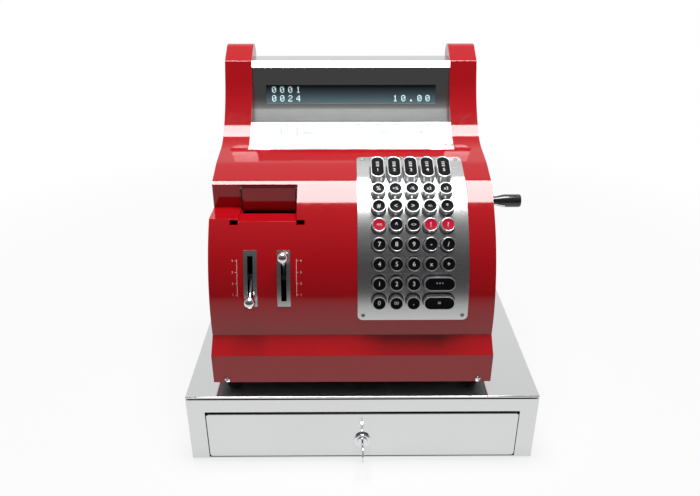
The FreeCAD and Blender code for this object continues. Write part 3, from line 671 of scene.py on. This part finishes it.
def onSkin(run, height):
    # run is counted along the barrel from the horizontal
    want = run - skinStart
    for (r0, p0, n0), (r1, p1, n1) in zip(skin, skin[1:]):
        if want <= r1:
            t = (want - r0) / (r1 - r0) if r1 > r0 else 0
            return p0.lerp(p1, t) + n0.lerp(n1, t).normalized() * height
    return skin[-1][1] + skin[-1][2] * height


def bend(piece, step=3.0):
    bm = bmesh.new()
    bm.from_mesh(piece.data)
    low = min(v.co.y for v in bm.verts)
    high = max(v.co.y for v in bm.verts)
    run = low + step
    while run < high:
        parts = bm.verts[:] + bm.edges[:] + bm.faces[:]
        bmesh.ops.bisect_plane(bm, geom=parts, dist=1e-4, plane_co=(0, run, 0), plane_no=(0, 1, 0))
        run += step
    for v in bm.verts:
        spot = onSkin(v.co.y, v.co.z)
        v.co = (v.co.x, spot.x, spot.y)
    bm.to_mesh(piece.data)
    bm.free()
    return piece


def flatSheet(name, x0, x1, s0, s1, thickness, corner, low=0.0):
    outline = roundedBox(x0, x1, s0, s1, corner)
    bm = bmesh.new()
    loft(bm, [[(x, y, height) for x, y in outline] for height in (low, low + thickness)])
    return newObject(name, bm)


def keyNames(kind, *numbers):
    return ["%s_key_%d" % (kind, number) for number in numbers or range(1, 6)]


keyRows = [keyNames("upper"), keyNames("middle"), keyNames("command"),
           keyNames("digit", 7, 8, 9) + keyNames("operator", 1, 2),
           keyNames("digit", 4, 5, 6) + keyNames("operator", 3, 4),
           keyNames("digit", 1, 2, 3) + ["subtotal_key"],
           ["digit_key_0", "double_zero_key", "point_key", "total_key"]]


def keySpots():
    # name, x, run along the skin, length along X, length along the slope, angle of the key's axis
    pitch, middle = pick(keyboard, "pitch keyCentre")
    spots = []
    for i, name in enumerate(keyNames("department")):
        spots.append((name, middle + (i - 2) * pitch, creaseRun + keyboard["tallRun"], 0, pitch,
                      90 - keyboard["tallTilt"]))
    for row, names in enumerate(keyRows):
        run = creaseRun - keyboard["topRowDrop"] - row * keyboard["rowPitch"]
        for i, name in enumerate(names):
            wide = 5 - len(names) if i == len(names) - 1 else 0
            spots.append((name, middle + (i + wide / 2 - 2) * pitch, run, wide * pitch, 0,
                          angleAt(run)))
    return spots


def holeCutters(spots):
    bm = bmesh.new()
    for _, x, run, lengthX, lengthY, _ in spots:
        ring = stadium(lengthX, lengthY, keyboard["hole"], 0, keyboard["holeSides"])
        loft(bm, [[(x + a, run + b, height) for a, b, _ in ring] for height in keyboard["holeCut"]])
    return newObject("holes", bm)


# screw heads, in shares of their radius and height
screw = {"sink": 0.3, "sides": 28, "profile": ((1, 0.2), (0.92, 0.55), (0.7, 0.85), (0.35, 1), (0.05, 1)),
         "cross": (0.62, 0.13, 0.35)}
plateScrew = {"inset": 6.2, "size": (2.3, 1.0), "tilts": (3.2, 80.5), "turn": 0.5}


def screwHead(radius, height):
    profile = [(radius, -screw["sink"])] + [(a * radius, b * height) for a, b in screw["profile"]]
    head = turned("screw", profile, screw["sides"])
    arm, wide, low = screw["cross"][0] * radius, screw["cross"][1] * radius, screw["cross"][2] * height
    return carve(head, [block("crossA", (-arm, -wide, low), (arm, wide, 2 * height)),
                        block("crossB", (-wide, -arm, low), (wide, arm, 2 * height))])


def seatMatrix(x, run, angle, height=0.0):
    spot = onSkin(run, height)
    return Matrix.Translation((x, spot.x, spot.y)) @ Matrix.Rotation(radians(90 - angle), 4, "X")


def makeKeyboardPlate(spots):
    left = keyboard["centre"] - keyboard["width"] / 2
    right = keyboard["centre"] + keyboard["width"] / 2
    low = runAt(keyboard["lowAngle"])
    browRun = creaseRun + (browSpot - Vector(housing["crease"])).length
    high = browRun + keyboard["topRun"]
    plate = flatSheet("keyboard_sheet", left, right, low, high, keyboard["thickness"], keyboard["corner"])
    carve(plate, [holeCutters(spots)])
    softEdges(plate, *keyboard["edge"])
    bend(plate)
    settle(plate, "cabinet", ["plateSteel"], ["keyboard_plate"], 40)
    screws, aside = [], plateScrew["inset"]
    turn = Matrix.Rotation(plateScrew["turn"], 4, "Z")
    for x in (left + aside, right - aside):
        for run, tilt in zip((low + aside, high - aside), plateScrew["tilts"]):
            seat = seatMatrix(x, run, tilt, keyboard["thickness"])
            screws.append(placed(screwHead(*plateScrew["size"]), seat @ turn))
    settle(joined("plate_screws", screws), "cabinet", ["greySteel"])
    print("keyboard plate", len(plate.data.polygons))


spots = keySpots()
makeKeyboardPlate(spots)


# keys: chrome cup, dished cap and a raised legend in one piece each
key = {"radius": 8.0, "rise": 12.0, "foot": 5.0, "cap": 6.75, "capFit": 0.04, "capEdge": 0.12, "sunk": 0.25,
       "dish": 0.55, "sides": 40, "stem": 4.0, "stemLow": -16.0, "stemIn": 0.2, "skirt": (0.3, 0.2),
       "rim": ((-0.05, -1.2), (-0.08, -0.5), (-0.25, -0.12), (-0.5, 0), (-0.85, 0), (-1.1, -0.12),
               (-1.2, -0.4), (-1.2, -1.2)),
       "rings": (1, 0.97, 0.9, 0.75, 0.55, 0.35, 0.15), "letters": (7.2, 5.2, 4.4), "letterDrop": 0.28,
       "letterLift": 0.02, "letterDepth": 0.03, "letterSteps": 3, "bar": (1.8, 0.55),
       "bars": (0.42, 0.25, 0.08), "barLift": (-0.03, 0.05)}
redKeys = ("command_key_1", "command_key_4", "command_key_5")
legends = {"subtotal_key": "* * *", "double_zero_key": "00", "point_key": ".", "total_key": "="}
legendRows = {"upper": "% +% -% x2 x3", "middle": "# < > +/- *", "command": "<< ^ <> ! ?",
              "operator": "- / x +", "department": "1 2 3 4 5", "digit": "1 2 3 4 5 6 7 8 9"}
for row, signs in legendRows.items():
    for number, sign in enumerate(signs.split(), 1):
        legends["%s_key_%d" % (row, number)] = sign
legends["digit_key_0"] = "0"


def dished(share):
    return key["rise"] - key["sunk"] - key["dish"] * (1 - share ** 2)


def dishHeight(x, y, lengthX, lengthY):
    dx = max(0, abs(x) - lengthX / 2)
    dy = max(0, abs(y) - lengthY / 2)
    return dished(min(1, hypot(dx, dy) / key["cap"]))


def glyphs(text, size):
    curve = bpy.data.curves.new("legend", "FONT")
    curve.body = text
    curve.size = size
    curve.align_x = "CENTER"
    curve.align_y = "CENTER"
    curve.extrude = key["letterDepth"]
    curve.resolution_u = key["letterSteps"]
    holder = linked("legend", curve)
    bpy.context.view_layer.update()
    mesh = bpy.data.meshes.new_from_object(holder.evaluated_get(bpy.context.evaluated_depsgraph_get()))
    bpy.data.objects.remove(holder)
    bpy.data.curves.remove(curve)
    return mesh


def makeKey(name, x, run, lengthX, lengthY, angle):
    bm = bmesh.new()
    radius, rise, foot, cap = pick(key, "radius rise foot cap")

    def rings(profile):
        return [stadium(lengthX, lengthY, width, height, key["sides"]) for width, height in profile]

    low, high = key["skirt"]
    cup = [(radius - low, -foot), (radius - high, 0)] + [(radius + a, rise + b) for a, b in key["rim"]]
    loft(bm, rings(cup), True, False, 0)
    dish = [(cap + key["capFit"], rise + key["rim"][-1][1])]
    dish += [(cap * share, dished(share) - (key["capEdge"] if share == 1 else 0)) for share in key["rings"]]
    loft(bm, rings(dish), False, True, 1)
    half = key["stem"] / 2
    square = [(-half, -half), (half, -half), (half, half), (-half, half)]
    loft(bm, [[(a, b, height) for a, b in square] for height in (key["stemLow"], -foot + key["stemIn"])])
    count = len(bm.faces)
    text = legends[name]
    mark = glyphs(text, key["letters"][min(len(text), 3) - 1])
    for v in mark.vertices:
        v.co.y -= lengthY * key["letterDrop"]
        v.co.z += dishHeight(v.co.x, v.co.y, lengthX, lengthY) + key["letterLift"]
    bm.from_mesh(mark)
    bpy.data.meshes.remove(mark)
    if lengthY:
        # bars above the number on a tall key
        wide, tall = key["bar"]
        for share in key["bars"]:
            y = lengthY * share
            bar = [(-wide, y - tall), (wide, y - tall), (wide, y + tall), (-wide, y + tall)]
            base = dishHeight(wide, y, lengthX, lengthY)
            loft(bm, [[(a, b, base + lift) for a, b in bar] for lift in key["barLift"]])
    bm.faces.ensure_lookup_table()
    for face in bm.faces[count:]:
        face.material_index = 2
    bmesh.ops.transform(bm, matrix=seatMatrix(x, run, angle), verts=bm.verts)
    red = name in redKeys
    piece = newObject(name + "_top", bm)
    settle(piece, name + "_body",
           ["rimChrome", "capRed" if red else "capBlack", "legendWhite"], [name], 40, False)


for spot in spots:
    makeKey(*spot)
print("keys", len(spots))


# selector levers, their plates and scales
def makeLeverPlates():
    plates = []
    half, long = levers["width"] / 2, levers["length"] / 2
    slotWide, slotLong = (size / 2 for size in levers["slot"])
    wide, ahead, low, high = levers["lug"]
    middle, spare = runAt(leverAngle), reach["spare"]
    for x in levers["spots"]:
        plate = flatSheet("plate", x - half, x + half, middle - long, middle + long, levers["thickness"],
                          levers["corner"])
        carve(plate, [block("slot", (x - slotWide, middle - slotLong, -spare),
                            (x + slotWide, middle + slotLong, spare))])
        softEdges(plate, *levers["edge"])
        plates.append(bend(plate, levers["bendStep"]))
        for left in levers["lugs"]:
            lug = block("lug", (left, -ahead, low), (left + wide, ahead, high))
            softEdges(lug, *levers["lugEdge"])
            plates.append(placed(lug, seatMatrix(x, middle, leverAngle)))
    settle(joined("lever_faces", plates), "cabinet", ["plateSteel"], ["lever_plates"], 40)


def makeLever(name, body, node, x, angle):
    bm = bmesh.new()
    knob, middle, neck, dark = pick(levers, "knob radius neck dark")
    start, steps = -acos(neck / knob), levers["knobSteps"]
    rodSides, hubSides = levers["sides"]
    profile = [*levers["rod"], (neck, dark), (neck, middle + knob * sin(start) - 1.0)]
    for i in range(steps):
        a = start + (pi / 2 - start) * i / (steps - 0.5)
        profile.append((knob * cos(a), middle + knob * sin(a)))
    lathe(bm, profile, rodSides)
    for face in bm.faces:
        # painted shade: the chrome rod is dark below this height, where it sits down inside the slot
        face.material_index = 1 if face.calc_center_median().z < dark else 0
    rod = newObject(name, bm)
    hub = turned("hub", levers["hub"], hubSides, tipped((0, 0, 0), "Y"))
    for face in hub.data.polygons:
        face.material_index = 1
    pivot = centre + barrelDirection(leverAngle) * (housing["radius"] - levers["pivotDepth"])
    lean = Matrix.Rotation(radians(90 - angle), 4, "X")
    piece = placed(joined(name, [rod, hub]), Matrix.Translation((x, pivot.x, pivot.y)) @ lean)
    settle(piece, body, ["chrome", "darkPlastic"], [node], 40)


scale = {"lines": (-128.75, -62.35), "rows": (25.5, 20.95, 16.5, 11.95), "width": 0.45, "past": 2.0,
         "tick": 2.2, "paint": (0.08, 0.1, 0.01), "digit": 3.6, "digitOut": 5.0, "digitLift": 0.05}


def makeScales():
    parts = []
    runs = [runAt(angle) for angle in scale["rows"]]
    half, past, paint = scale["width"] / 2, scale["past"], scale["paint"]
    for x, side in zip(scale["lines"], (-1, 1)):
        parts.append(bend(flatSheet("line", x - half, x + half, runs[-1] - past, runs[0] + past, *paint)))
        for number, run in enumerate(runs):
            a, b = sorted((x, x + side * scale["tick"]))
            parts.append(bend(flatSheet("tick", a, b, run - half, run + half, *paint)))
            digit = linked("digit", glyphs(str(len(runs) - number), scale["digit"]))
            spot = (x + side * scale["digitOut"], run, scale["digitLift"])
            parts.append(bend(placed(digit, Matrix.Translation(spot))))
    settle(joined("lever_scales", parts), "cabinet", ["scaleWhite"], (), 40, False)


makeLeverPlates()
makeLever("mode_knob", "mode_selector", "mode_lever", levers["spots"][0], leverAngle - levers["swing"])
makeLever("clerk_knob", "clerk_selector", "clerk_lever", levers["spots"][1], leverAngle + levers["swing"])
makeScales()
print("levers")


# display; an outer corner (y, z, radius) needs a radius above the sheet, or the panel comes out empty
display = {"recess": 6.0, "sink": 2.7, "backInset": 8.0, "sheet": 1.5, "gap": 0.2, "edge": (0.3, 2, 50),
           "step": 2.5, "window": (219.5, 267.5, 290.5), "windowDepth": (150.0, 262.0), "mouth": (210.0, 3.0),
           "bend": (218.0, 246.6, 3.0), "neck": (237.1, 271.5, 50.0), "brim": (242.6, 312.0, 1.8),
           "crown": (251.9, 319.7, 5.0), "back": (322.0, 12.0)}
pane = {"border": 3.0, "thickness": 2.0, "steps": 14}
# rows of dots for each sign of the readout
dotRows = {"0": "01110 10001 10011 10101 11001 10001 01110", "1": "00100 01100 00100 00100 00100 00100 01110",
           "2": "01110 10001 00001 00110 01000 10000 11111", "4": "00010 00110 01010 10010 11111 00010 00010",
           ".": "00000 00000 00000 00000 00000 01100 01100"}
readout = {"columns": 20, "cell": 10.5, "line": 10.6, "dot": 1.08, "size": 0.92, "lift": 0.1, "depth": 0.2,
           "lines": ("0001", "0024           10.00")}


def panelOutline():
    root, deck = housing["hornRoot"], housing["deckZ"]
    front = housing["lipY"] + display["gap"]
    corner = Vector((root[0] + display["recess"], root[1] - display["sink"]))
    start = corner - topAlong * ((corner.x - front) / topAlong.x)
    back = housing["depth"] - display["backInset"]
    corners = [(front, deck, 0), (start.x, start.y, 0), (corner.x, corner.y, root[2]), display["bend"],
               display["neck"], display["brim"], display["crown"], (back, *display["back"]), (back, deck, 0)]
    return roundedLine(corners, display["step"])


panelLine = panelOutline()
paneLine = inset(panelLine, display["sheet"])


def makeDisplay():
    half = housing["half"] - housing["hornWidth"] - display["gap"]
    wider, sheet = half + reach["spare"], display["sheet"]
    panel = slab("panel", panelLine, -half, half)
    inner = slab("inner", paneLine, -wider, wider)
    front = housing["lipY"] + display["gap"] + sheet
    back = housing["depth"] - display["backInset"] - sheet
    below, above = display["mouth"]
    mouth = block("mouth", (-wider, front, below), (wider, back, housing["deckZ"] + above))
    wide, low, high = display["window"]
    near, far = display["windowDepth"]
    window = block("window", (-wide / 2, near, low), (wide / 2, far, high))
    carve(panel, [inner, mouth, window])
    softEdges(panel, *display["edge"])
    settle(panel, "cabinet", ["panelSteel"], ["display_panel"], 35)


def paneY(z):
    # front of the pane, just behind the sheet of the panel
    for a, b in zip(paneLine, paneLine[1:]):
        if max(a.x, b.x) < display["windowDepth"][1] and a.y <= z <= b.y and b.y > a.y:
            return a.x + (b.x - a.x) * (z - a.y) / (b.y - a.y)


def makePane():
    wide, low, high = display["window"]
    border, deep, steps = pick(pane, "border thickness steps")
    half = wide / 2 + border
    heights = [low - border + (high - low + 2 * border) * step / steps for step in range(steps + 1)]
    front = [Vector((paneY(z), z)) for z in heights]
    back = [Vector((paneY(z) + deep, z)) for z in reversed(heights)]
    piece = slab("display_pane", front + back, -half, half)
    settle(piece, "cabinet", ["darkPane"], ["display_window"], 30)


def addDot(bm, x, z):
    half, lift = readout["size"] / 2, readout["lift"]
    low, high = paneY(z - half) - lift, paneY(z + half) - lift
    near = [(x - half, low, z - half), (x + half, low, z - half), (x + half, high, z + half),
            (x - half, high, z + half)]
    loft(bm, [[(a, b + readout["depth"], c) for a, b, c in near], near])


def makeReadout():
    # lit dots just in front of the pane
    _, low, high = display["window"]
    pitch = readout["dot"]
    bm = bmesh.new()
    for row, line in enumerate(readout["lines"]):
        baseZ = (low + high) / 2 + readout["line"] * (0.5 - row)
        for column, sign in enumerate(line):
            baseX = (column - (readout["columns"] - 1) / 2) * readout["cell"]
            for j, bits in enumerate(dotRows.get(sign, "").split()):
                for i, bit in enumerate(bits):
                    if bit == "1":
                        addDot(bm, baseX + (i - 2) * pitch, baseZ + (3 - j) * pitch)
    bmesh.ops.recalc_face_normals(bm, faces=bm.faces)
    settle(newObject("readout_dots", bm), "cabinet", ["litDot"], (), 30, False)


makeDisplay()
makePane()
makeReadout()
print("display")


# printer flap
flap = {"left": -126.0, "right": -65.0, "y": (87.6, 90.4), "z": (179.1, 206.9), "ease": 0.5, "clear": 3.2,
        "pin": 1.25, "pinSides": 24, "pinEnds": (-128.3, -62.7), "pinIn": 1.0, "axis": (89.0, 204.0),
        "wall": 91.9, "shadeFrom": 203.0}


def makeFlap():
    # the upper edge is cut back so that it clears the wall when the flap lifts
    (front, back), (low, high), ease = pick(flap, "y z ease")
    side = [Vector(corner) for corner in ((front, low + ease), (front + ease, low), (back, low),
                                          (back, high - flap["clear"]), (front, high))]
    parts = [slab("flap_sheet", side, flap["left"], flap["right"])]
    start, end = flap["pinEnds"]
    for x0, x1 in ((start, flap["left"] + flap["pinIn"]), (flap["right"] - flap["pinIn"], end)):
        profile = [(flap["pin"], 0), (flap["pin"], x1 - x0)]
        parts.append(turned("pin", profile, flap["pinSides"], tipped((x0, *flap["axis"]), "Y")))
    settle(joined("paper_flap", parts), "flap", ["redLacquer"], ["printer_flap"], 30)


def makePrinter():
    unit = cadCopy("printer_unit", "printer_frame", 0.2)
    # painted shade: in front of the wall the frame is red only low down; higher up, right over the flap, dark
    # plastic stands in for the shaded gap line. Behind the wall the unit is dark plastic
    for face in unit.data.polygons:
        front = face.center.y < flap["wall"] + machineShift.y and face.center.z < flap["shadeFrom"] + machineShift.z
        face.material_index = 0 if front else 1
    settle(unit, "cabinet", ["redLacquer", "darkPlastic"], ["printer_unit"], 30, shift=Vector())


makeFlap()
makePrinter()


# crank and its grip; it turns in the boss of the housing
crank = {"end": (137.0, 170.5), "start": 162.75, "thick": 5.0, "boss": 11.0, "tip": 8.0, "arcSteps": 28,
         "edge": (0.9, 3, 40), "sides": 36, "shaft": ((5, -12), (5, 0.5)),
         "gripPin": ((3, -0.5), (3, 34.8), (2.6, 35.4)),
         "cap": ((6.2, -0.4), (6.2, 0.6), (5.4, 1.3), (2.5, 1.6))}
grip = {"gap": 0.5, "sides": 44,
        "profile": ((3.06, 0.3), (5.2, 0), (5.5, 0.4), (5.55, 8.5), (5.9, 11), (7.2, 16.5), (7.8, 19),
                    (8, 21.5), (8, 37.6), (7.8, 39), (7.2, 39.9), (6.2, 40.2), (1.0, 40.2))}


def makeCrank():
    first, second = Vector(boss["place"]), Vector(crank["end"])
    along = (second - first).normalized()
    turn, steps = atan2(along.y, along.x), crank["arcSteps"]
    tangent = acos((crank["boss"] - crank["tip"]) / (second - first).length)
    outline = []
    for spot, radius, start, sweep in ((second, crank["tip"], turn - tangent, 2 * tangent),
                                       (first, crank["boss"], turn + tangent, 2 * pi - 2 * tangent)):
        for i in range(steps + 1):
            a = start + sweep * i / steps
            outline.append(spot + Vector((cos(a), sin(a))) * radius)
    inner, outer = crank["start"], crank["start"] + crank["thick"]
    parts = [softEdges(slab("arm", outline, inner, outer), *crank["edge"])]
    for piece, x, spot in (("shaft", inner, first), ("gripPin", outer, second), ("cap", outer, first)):
        parts.append(turned(piece, crank[piece], crank["sides"], tipped((x, *spot), "Y")))
    settle(joined("crank_lever", parts), "crank", ["chrome"], ["crank_arm"], 35)
    handle = turned("crank_handle", grip["profile"], grip["sides"], tipped((outer + grip["gap"], *second), "Y"))
    settle(handle, "grip", ["gripBlack"], ["crank_grip"], 40)


makeCrank()
print("flap and crank")


# drawer
drawer = {"half": 205.0, "depth": 415.0, "low": 3.0, "high": 95.0, "wall": 1.2, "edge": (1.0, 3), "gap": 1.5,
          "seam": (90.7, 92.8), "seamIn": 0.2, "seamPast": 2.0, "rail": (15, 400), "shelf": (168.0, 9.2, 10.7),
          "lip": (176.3, 177.8, 19.7)}
drawerFront = {"half": 182.8, "low": 6.7, "high": 71.5, "sill": 1.5, "corner": 3.5, "depth": (-2.5, 1.5),
               "edge": (0.9, 3, 50), "hole": ((8.7, -20), (8.7, 20)), "holeSides": 40}


def makeDrawerCase():
    half, depth, low, high, wall = pick(drawer, "half depth low high wall")
    gap, spare, past = drawer["gap"], reach["spare"], drawer["seamPast"]
    case = softEdges(block("case", (-half, 0, low), (half, depth, high)), *drawer["edge"])
    inside = block("inside", (-half + wall, wall, low + wall), (half - wall, depth - wall, high - wall))
    wide = drawerFront["half"] + gap
    mouth = block("mouth", (-wide, -spare, drawerFront["low"] - gap), (wide, spare, drawerFront["high"] + gap))
    # slit seam under the lid, through the sheet
    s0, s1 = drawer["seam"]
    ring = block("ring", (-half - spare, -spare, s0), (half + spare, depth + spare, s1))
    skin = wall + drawer["seamIn"]
    core = block("core", (-half + skin, skin, s0 - past), (half - skin, depth - skin, s1 + past))
    carve(case, [inside, mouth, carve(ring, [core])])
    parts = [case]
    # angles that carry the tray
    start, end = drawer["rail"]
    inner, under, over = drawer["shelf"]
    lipIn, lipOut, lipTop = drawer["lip"]
    for side in (-1, 1):
        a, b = sorted((side * inner, side * (half - wall)))
        parts.append(block("shelf", (a, start, under), (b, end, over)))
        a, b = sorted((side * lipIn, side * lipOut))
        parts.append(block("lip", (a, start, over), (b, end, lipTop)))
    settle(joined("drawer_shell", parts), "cabinet", ["drawerSteel"], ["drawer_case"], 30,
           shift=drawerShift)


lock = {"height": 33.0, "sides": (48, 40, 28),
        "ring": ((6.25, -13.5), (8.5, -13.5), (8.5, 2.5), (10.3, 2.5), (10.3, 4.6), (10.0, 5.5), (9.3, 6.0),
                 (8.2, 6.0), (7.4, 5.6), (6.6, 5.5), (6.25, 5.2)),
        "plug": ((6.2, -13.8), (6.2, 6.5), (5.9, 6.9), (5.4, 7.0), (1.2, 7.0)),
        "way": ((-1.1, -9, 29.5), (1.1, 5, 36.5)), "cam": ((-6.2, 13.8, 26.8), (6.2, 15.8, 49)),
        "camEdge": (0.6, 2), "blade": ((-1.1, -25.5, 29.6), (1.1, 4.9, 36.4)), "bladeEdge": (0.3, 2),
        "bow": ((10.0, -0.8), (10.5, -0.5), (10.5, 0.5), (10.0, 0.8)), "bowY": -25.5,
        "eye": ((3, -5), (3, 5)), "eyeY": -30.7}


def makeDrawerFront():
    half, low, sill, high, corner, depth = pick(drawerFront, "half low sill high corner depth")
    outline = roundedBox(-half, half, low + sill, high, corner)
    bm = bmesh.new()
    loft(bm, [[(x, y, z) for x, z in outline] for y in depth])
    bmesh.ops.recalc_face_normals(bm, faces=bm.faces)
    panel = newObject("drawer_panel", bm)
    softEdges(panel, *drawerFront["edge"])
    seat = tipped((0, 0, lock["height"]), "X")
    carve(panel, [turned("hole", drawerFront["hole"], drawerFront["holeSides"], seat)])
    settle(panel, "drawer", ["drawerSteel"], ["drawer_front"], 30, shift=drawerShift)


def makeLock():
    high = lock["height"]
    ringSides, sides, eyeSides = lock["sides"]
    upright = tipped((0, 0, high), "X")
    collar = turned("lock_ring", lock["ring"], ringSides, upright)
    settle(collar, "drawer", ["chrome"], ["lock_collar"], 40, shift=drawerShift)
    plug = carve(turned("lock_barrel", lock["plug"], sides, upright), [block("way", *lock["way"])])
    cam = softEdges(block("cam", *lock["cam"]), *lock["camEdge"])
    blade = softEdges(block("blade", *lock["blade"]), *lock["bladeEdge"])
    bow = turned("bow", lock["bow"], sides, tipped((0, lock["bowY"], high), "Y"))
    carve(bow, [turned("eye", lock["eye"], eyeSides, tipped((0, lock["eyeY"], high), "Y"))])
    piece = joined("lock_and_key", [plug, cam, blade, bow])
    settle(piece, "lock", ["chrome"], ["lock_plug"], 40, shift=drawerShift)


def makeTray():
    tray = cadCopy("drawer_tray", "money_tray", 0.4)
    settle(tray, "drawer", ["greySteel"], ["drawer_tray"], 30, shift=Vector())
    till = cadCopy("till_insert", "coin_and_note_insert", 0.8)
    settle(till, "drawer", ["darkPlastic"], ["till_insert"], 30, shift=Vector())


# profile, x, y and height of the feet under the drawer and under the machine
feet = [(((9.2, 0), (9.8, 0.5), (9.8, 3.0)), (-181, 181), (24, 391), 0),
        (((8.6, 0), (9.6, 0.8), (9.9, 2.5), (9.6, 8), (8.2, 11.5)), (-152.5, 129), (39, 280), 95)]
footSides = 36
apronScrew = {"size": (3.3, 1.8), "spots": (-144.85, 145.65), "height": 4.0, "turn": 0.6}


def makeFeet():
    parts = []
    for profile, across, along, height in feet:
        for spot in [(x, y, height) for x in across for y in along]:
            parts.append(turned("foot", profile, footSides, Matrix.Translation(spot)))
    settle(joined("feet", parts), "cabinet", ["rubber"], ["rubber_feet"], 40, shift=drawerShift)


def makeApronScrews():
    turn = Matrix.Rotation(apronScrew["turn"], 4, "Z")
    parts = [placed(screwHead(*apronScrew["size"]), tipped((x, 0, apronScrew["height"]), "X") @ turn)
             for x in apronScrew["spots"]]
    settle(joined("apron_screws", parts), "cabinet", ["chrome"])


makeDrawerCase()
makeDrawerFront()
makeLock()
makeTray()
makeFeet()
makeApronScrews()
print("drawer")


# inner pieces keep their solids and get a finish
plainNodes = {"base_plate": "greySteel", "key_guide_board": "darkPlastic"}
for node, look in plainNodes.items():
    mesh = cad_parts[node].data
    mesh.materials.clear()
    mesh.materials.append(finishes[look])
print("inner pieces")
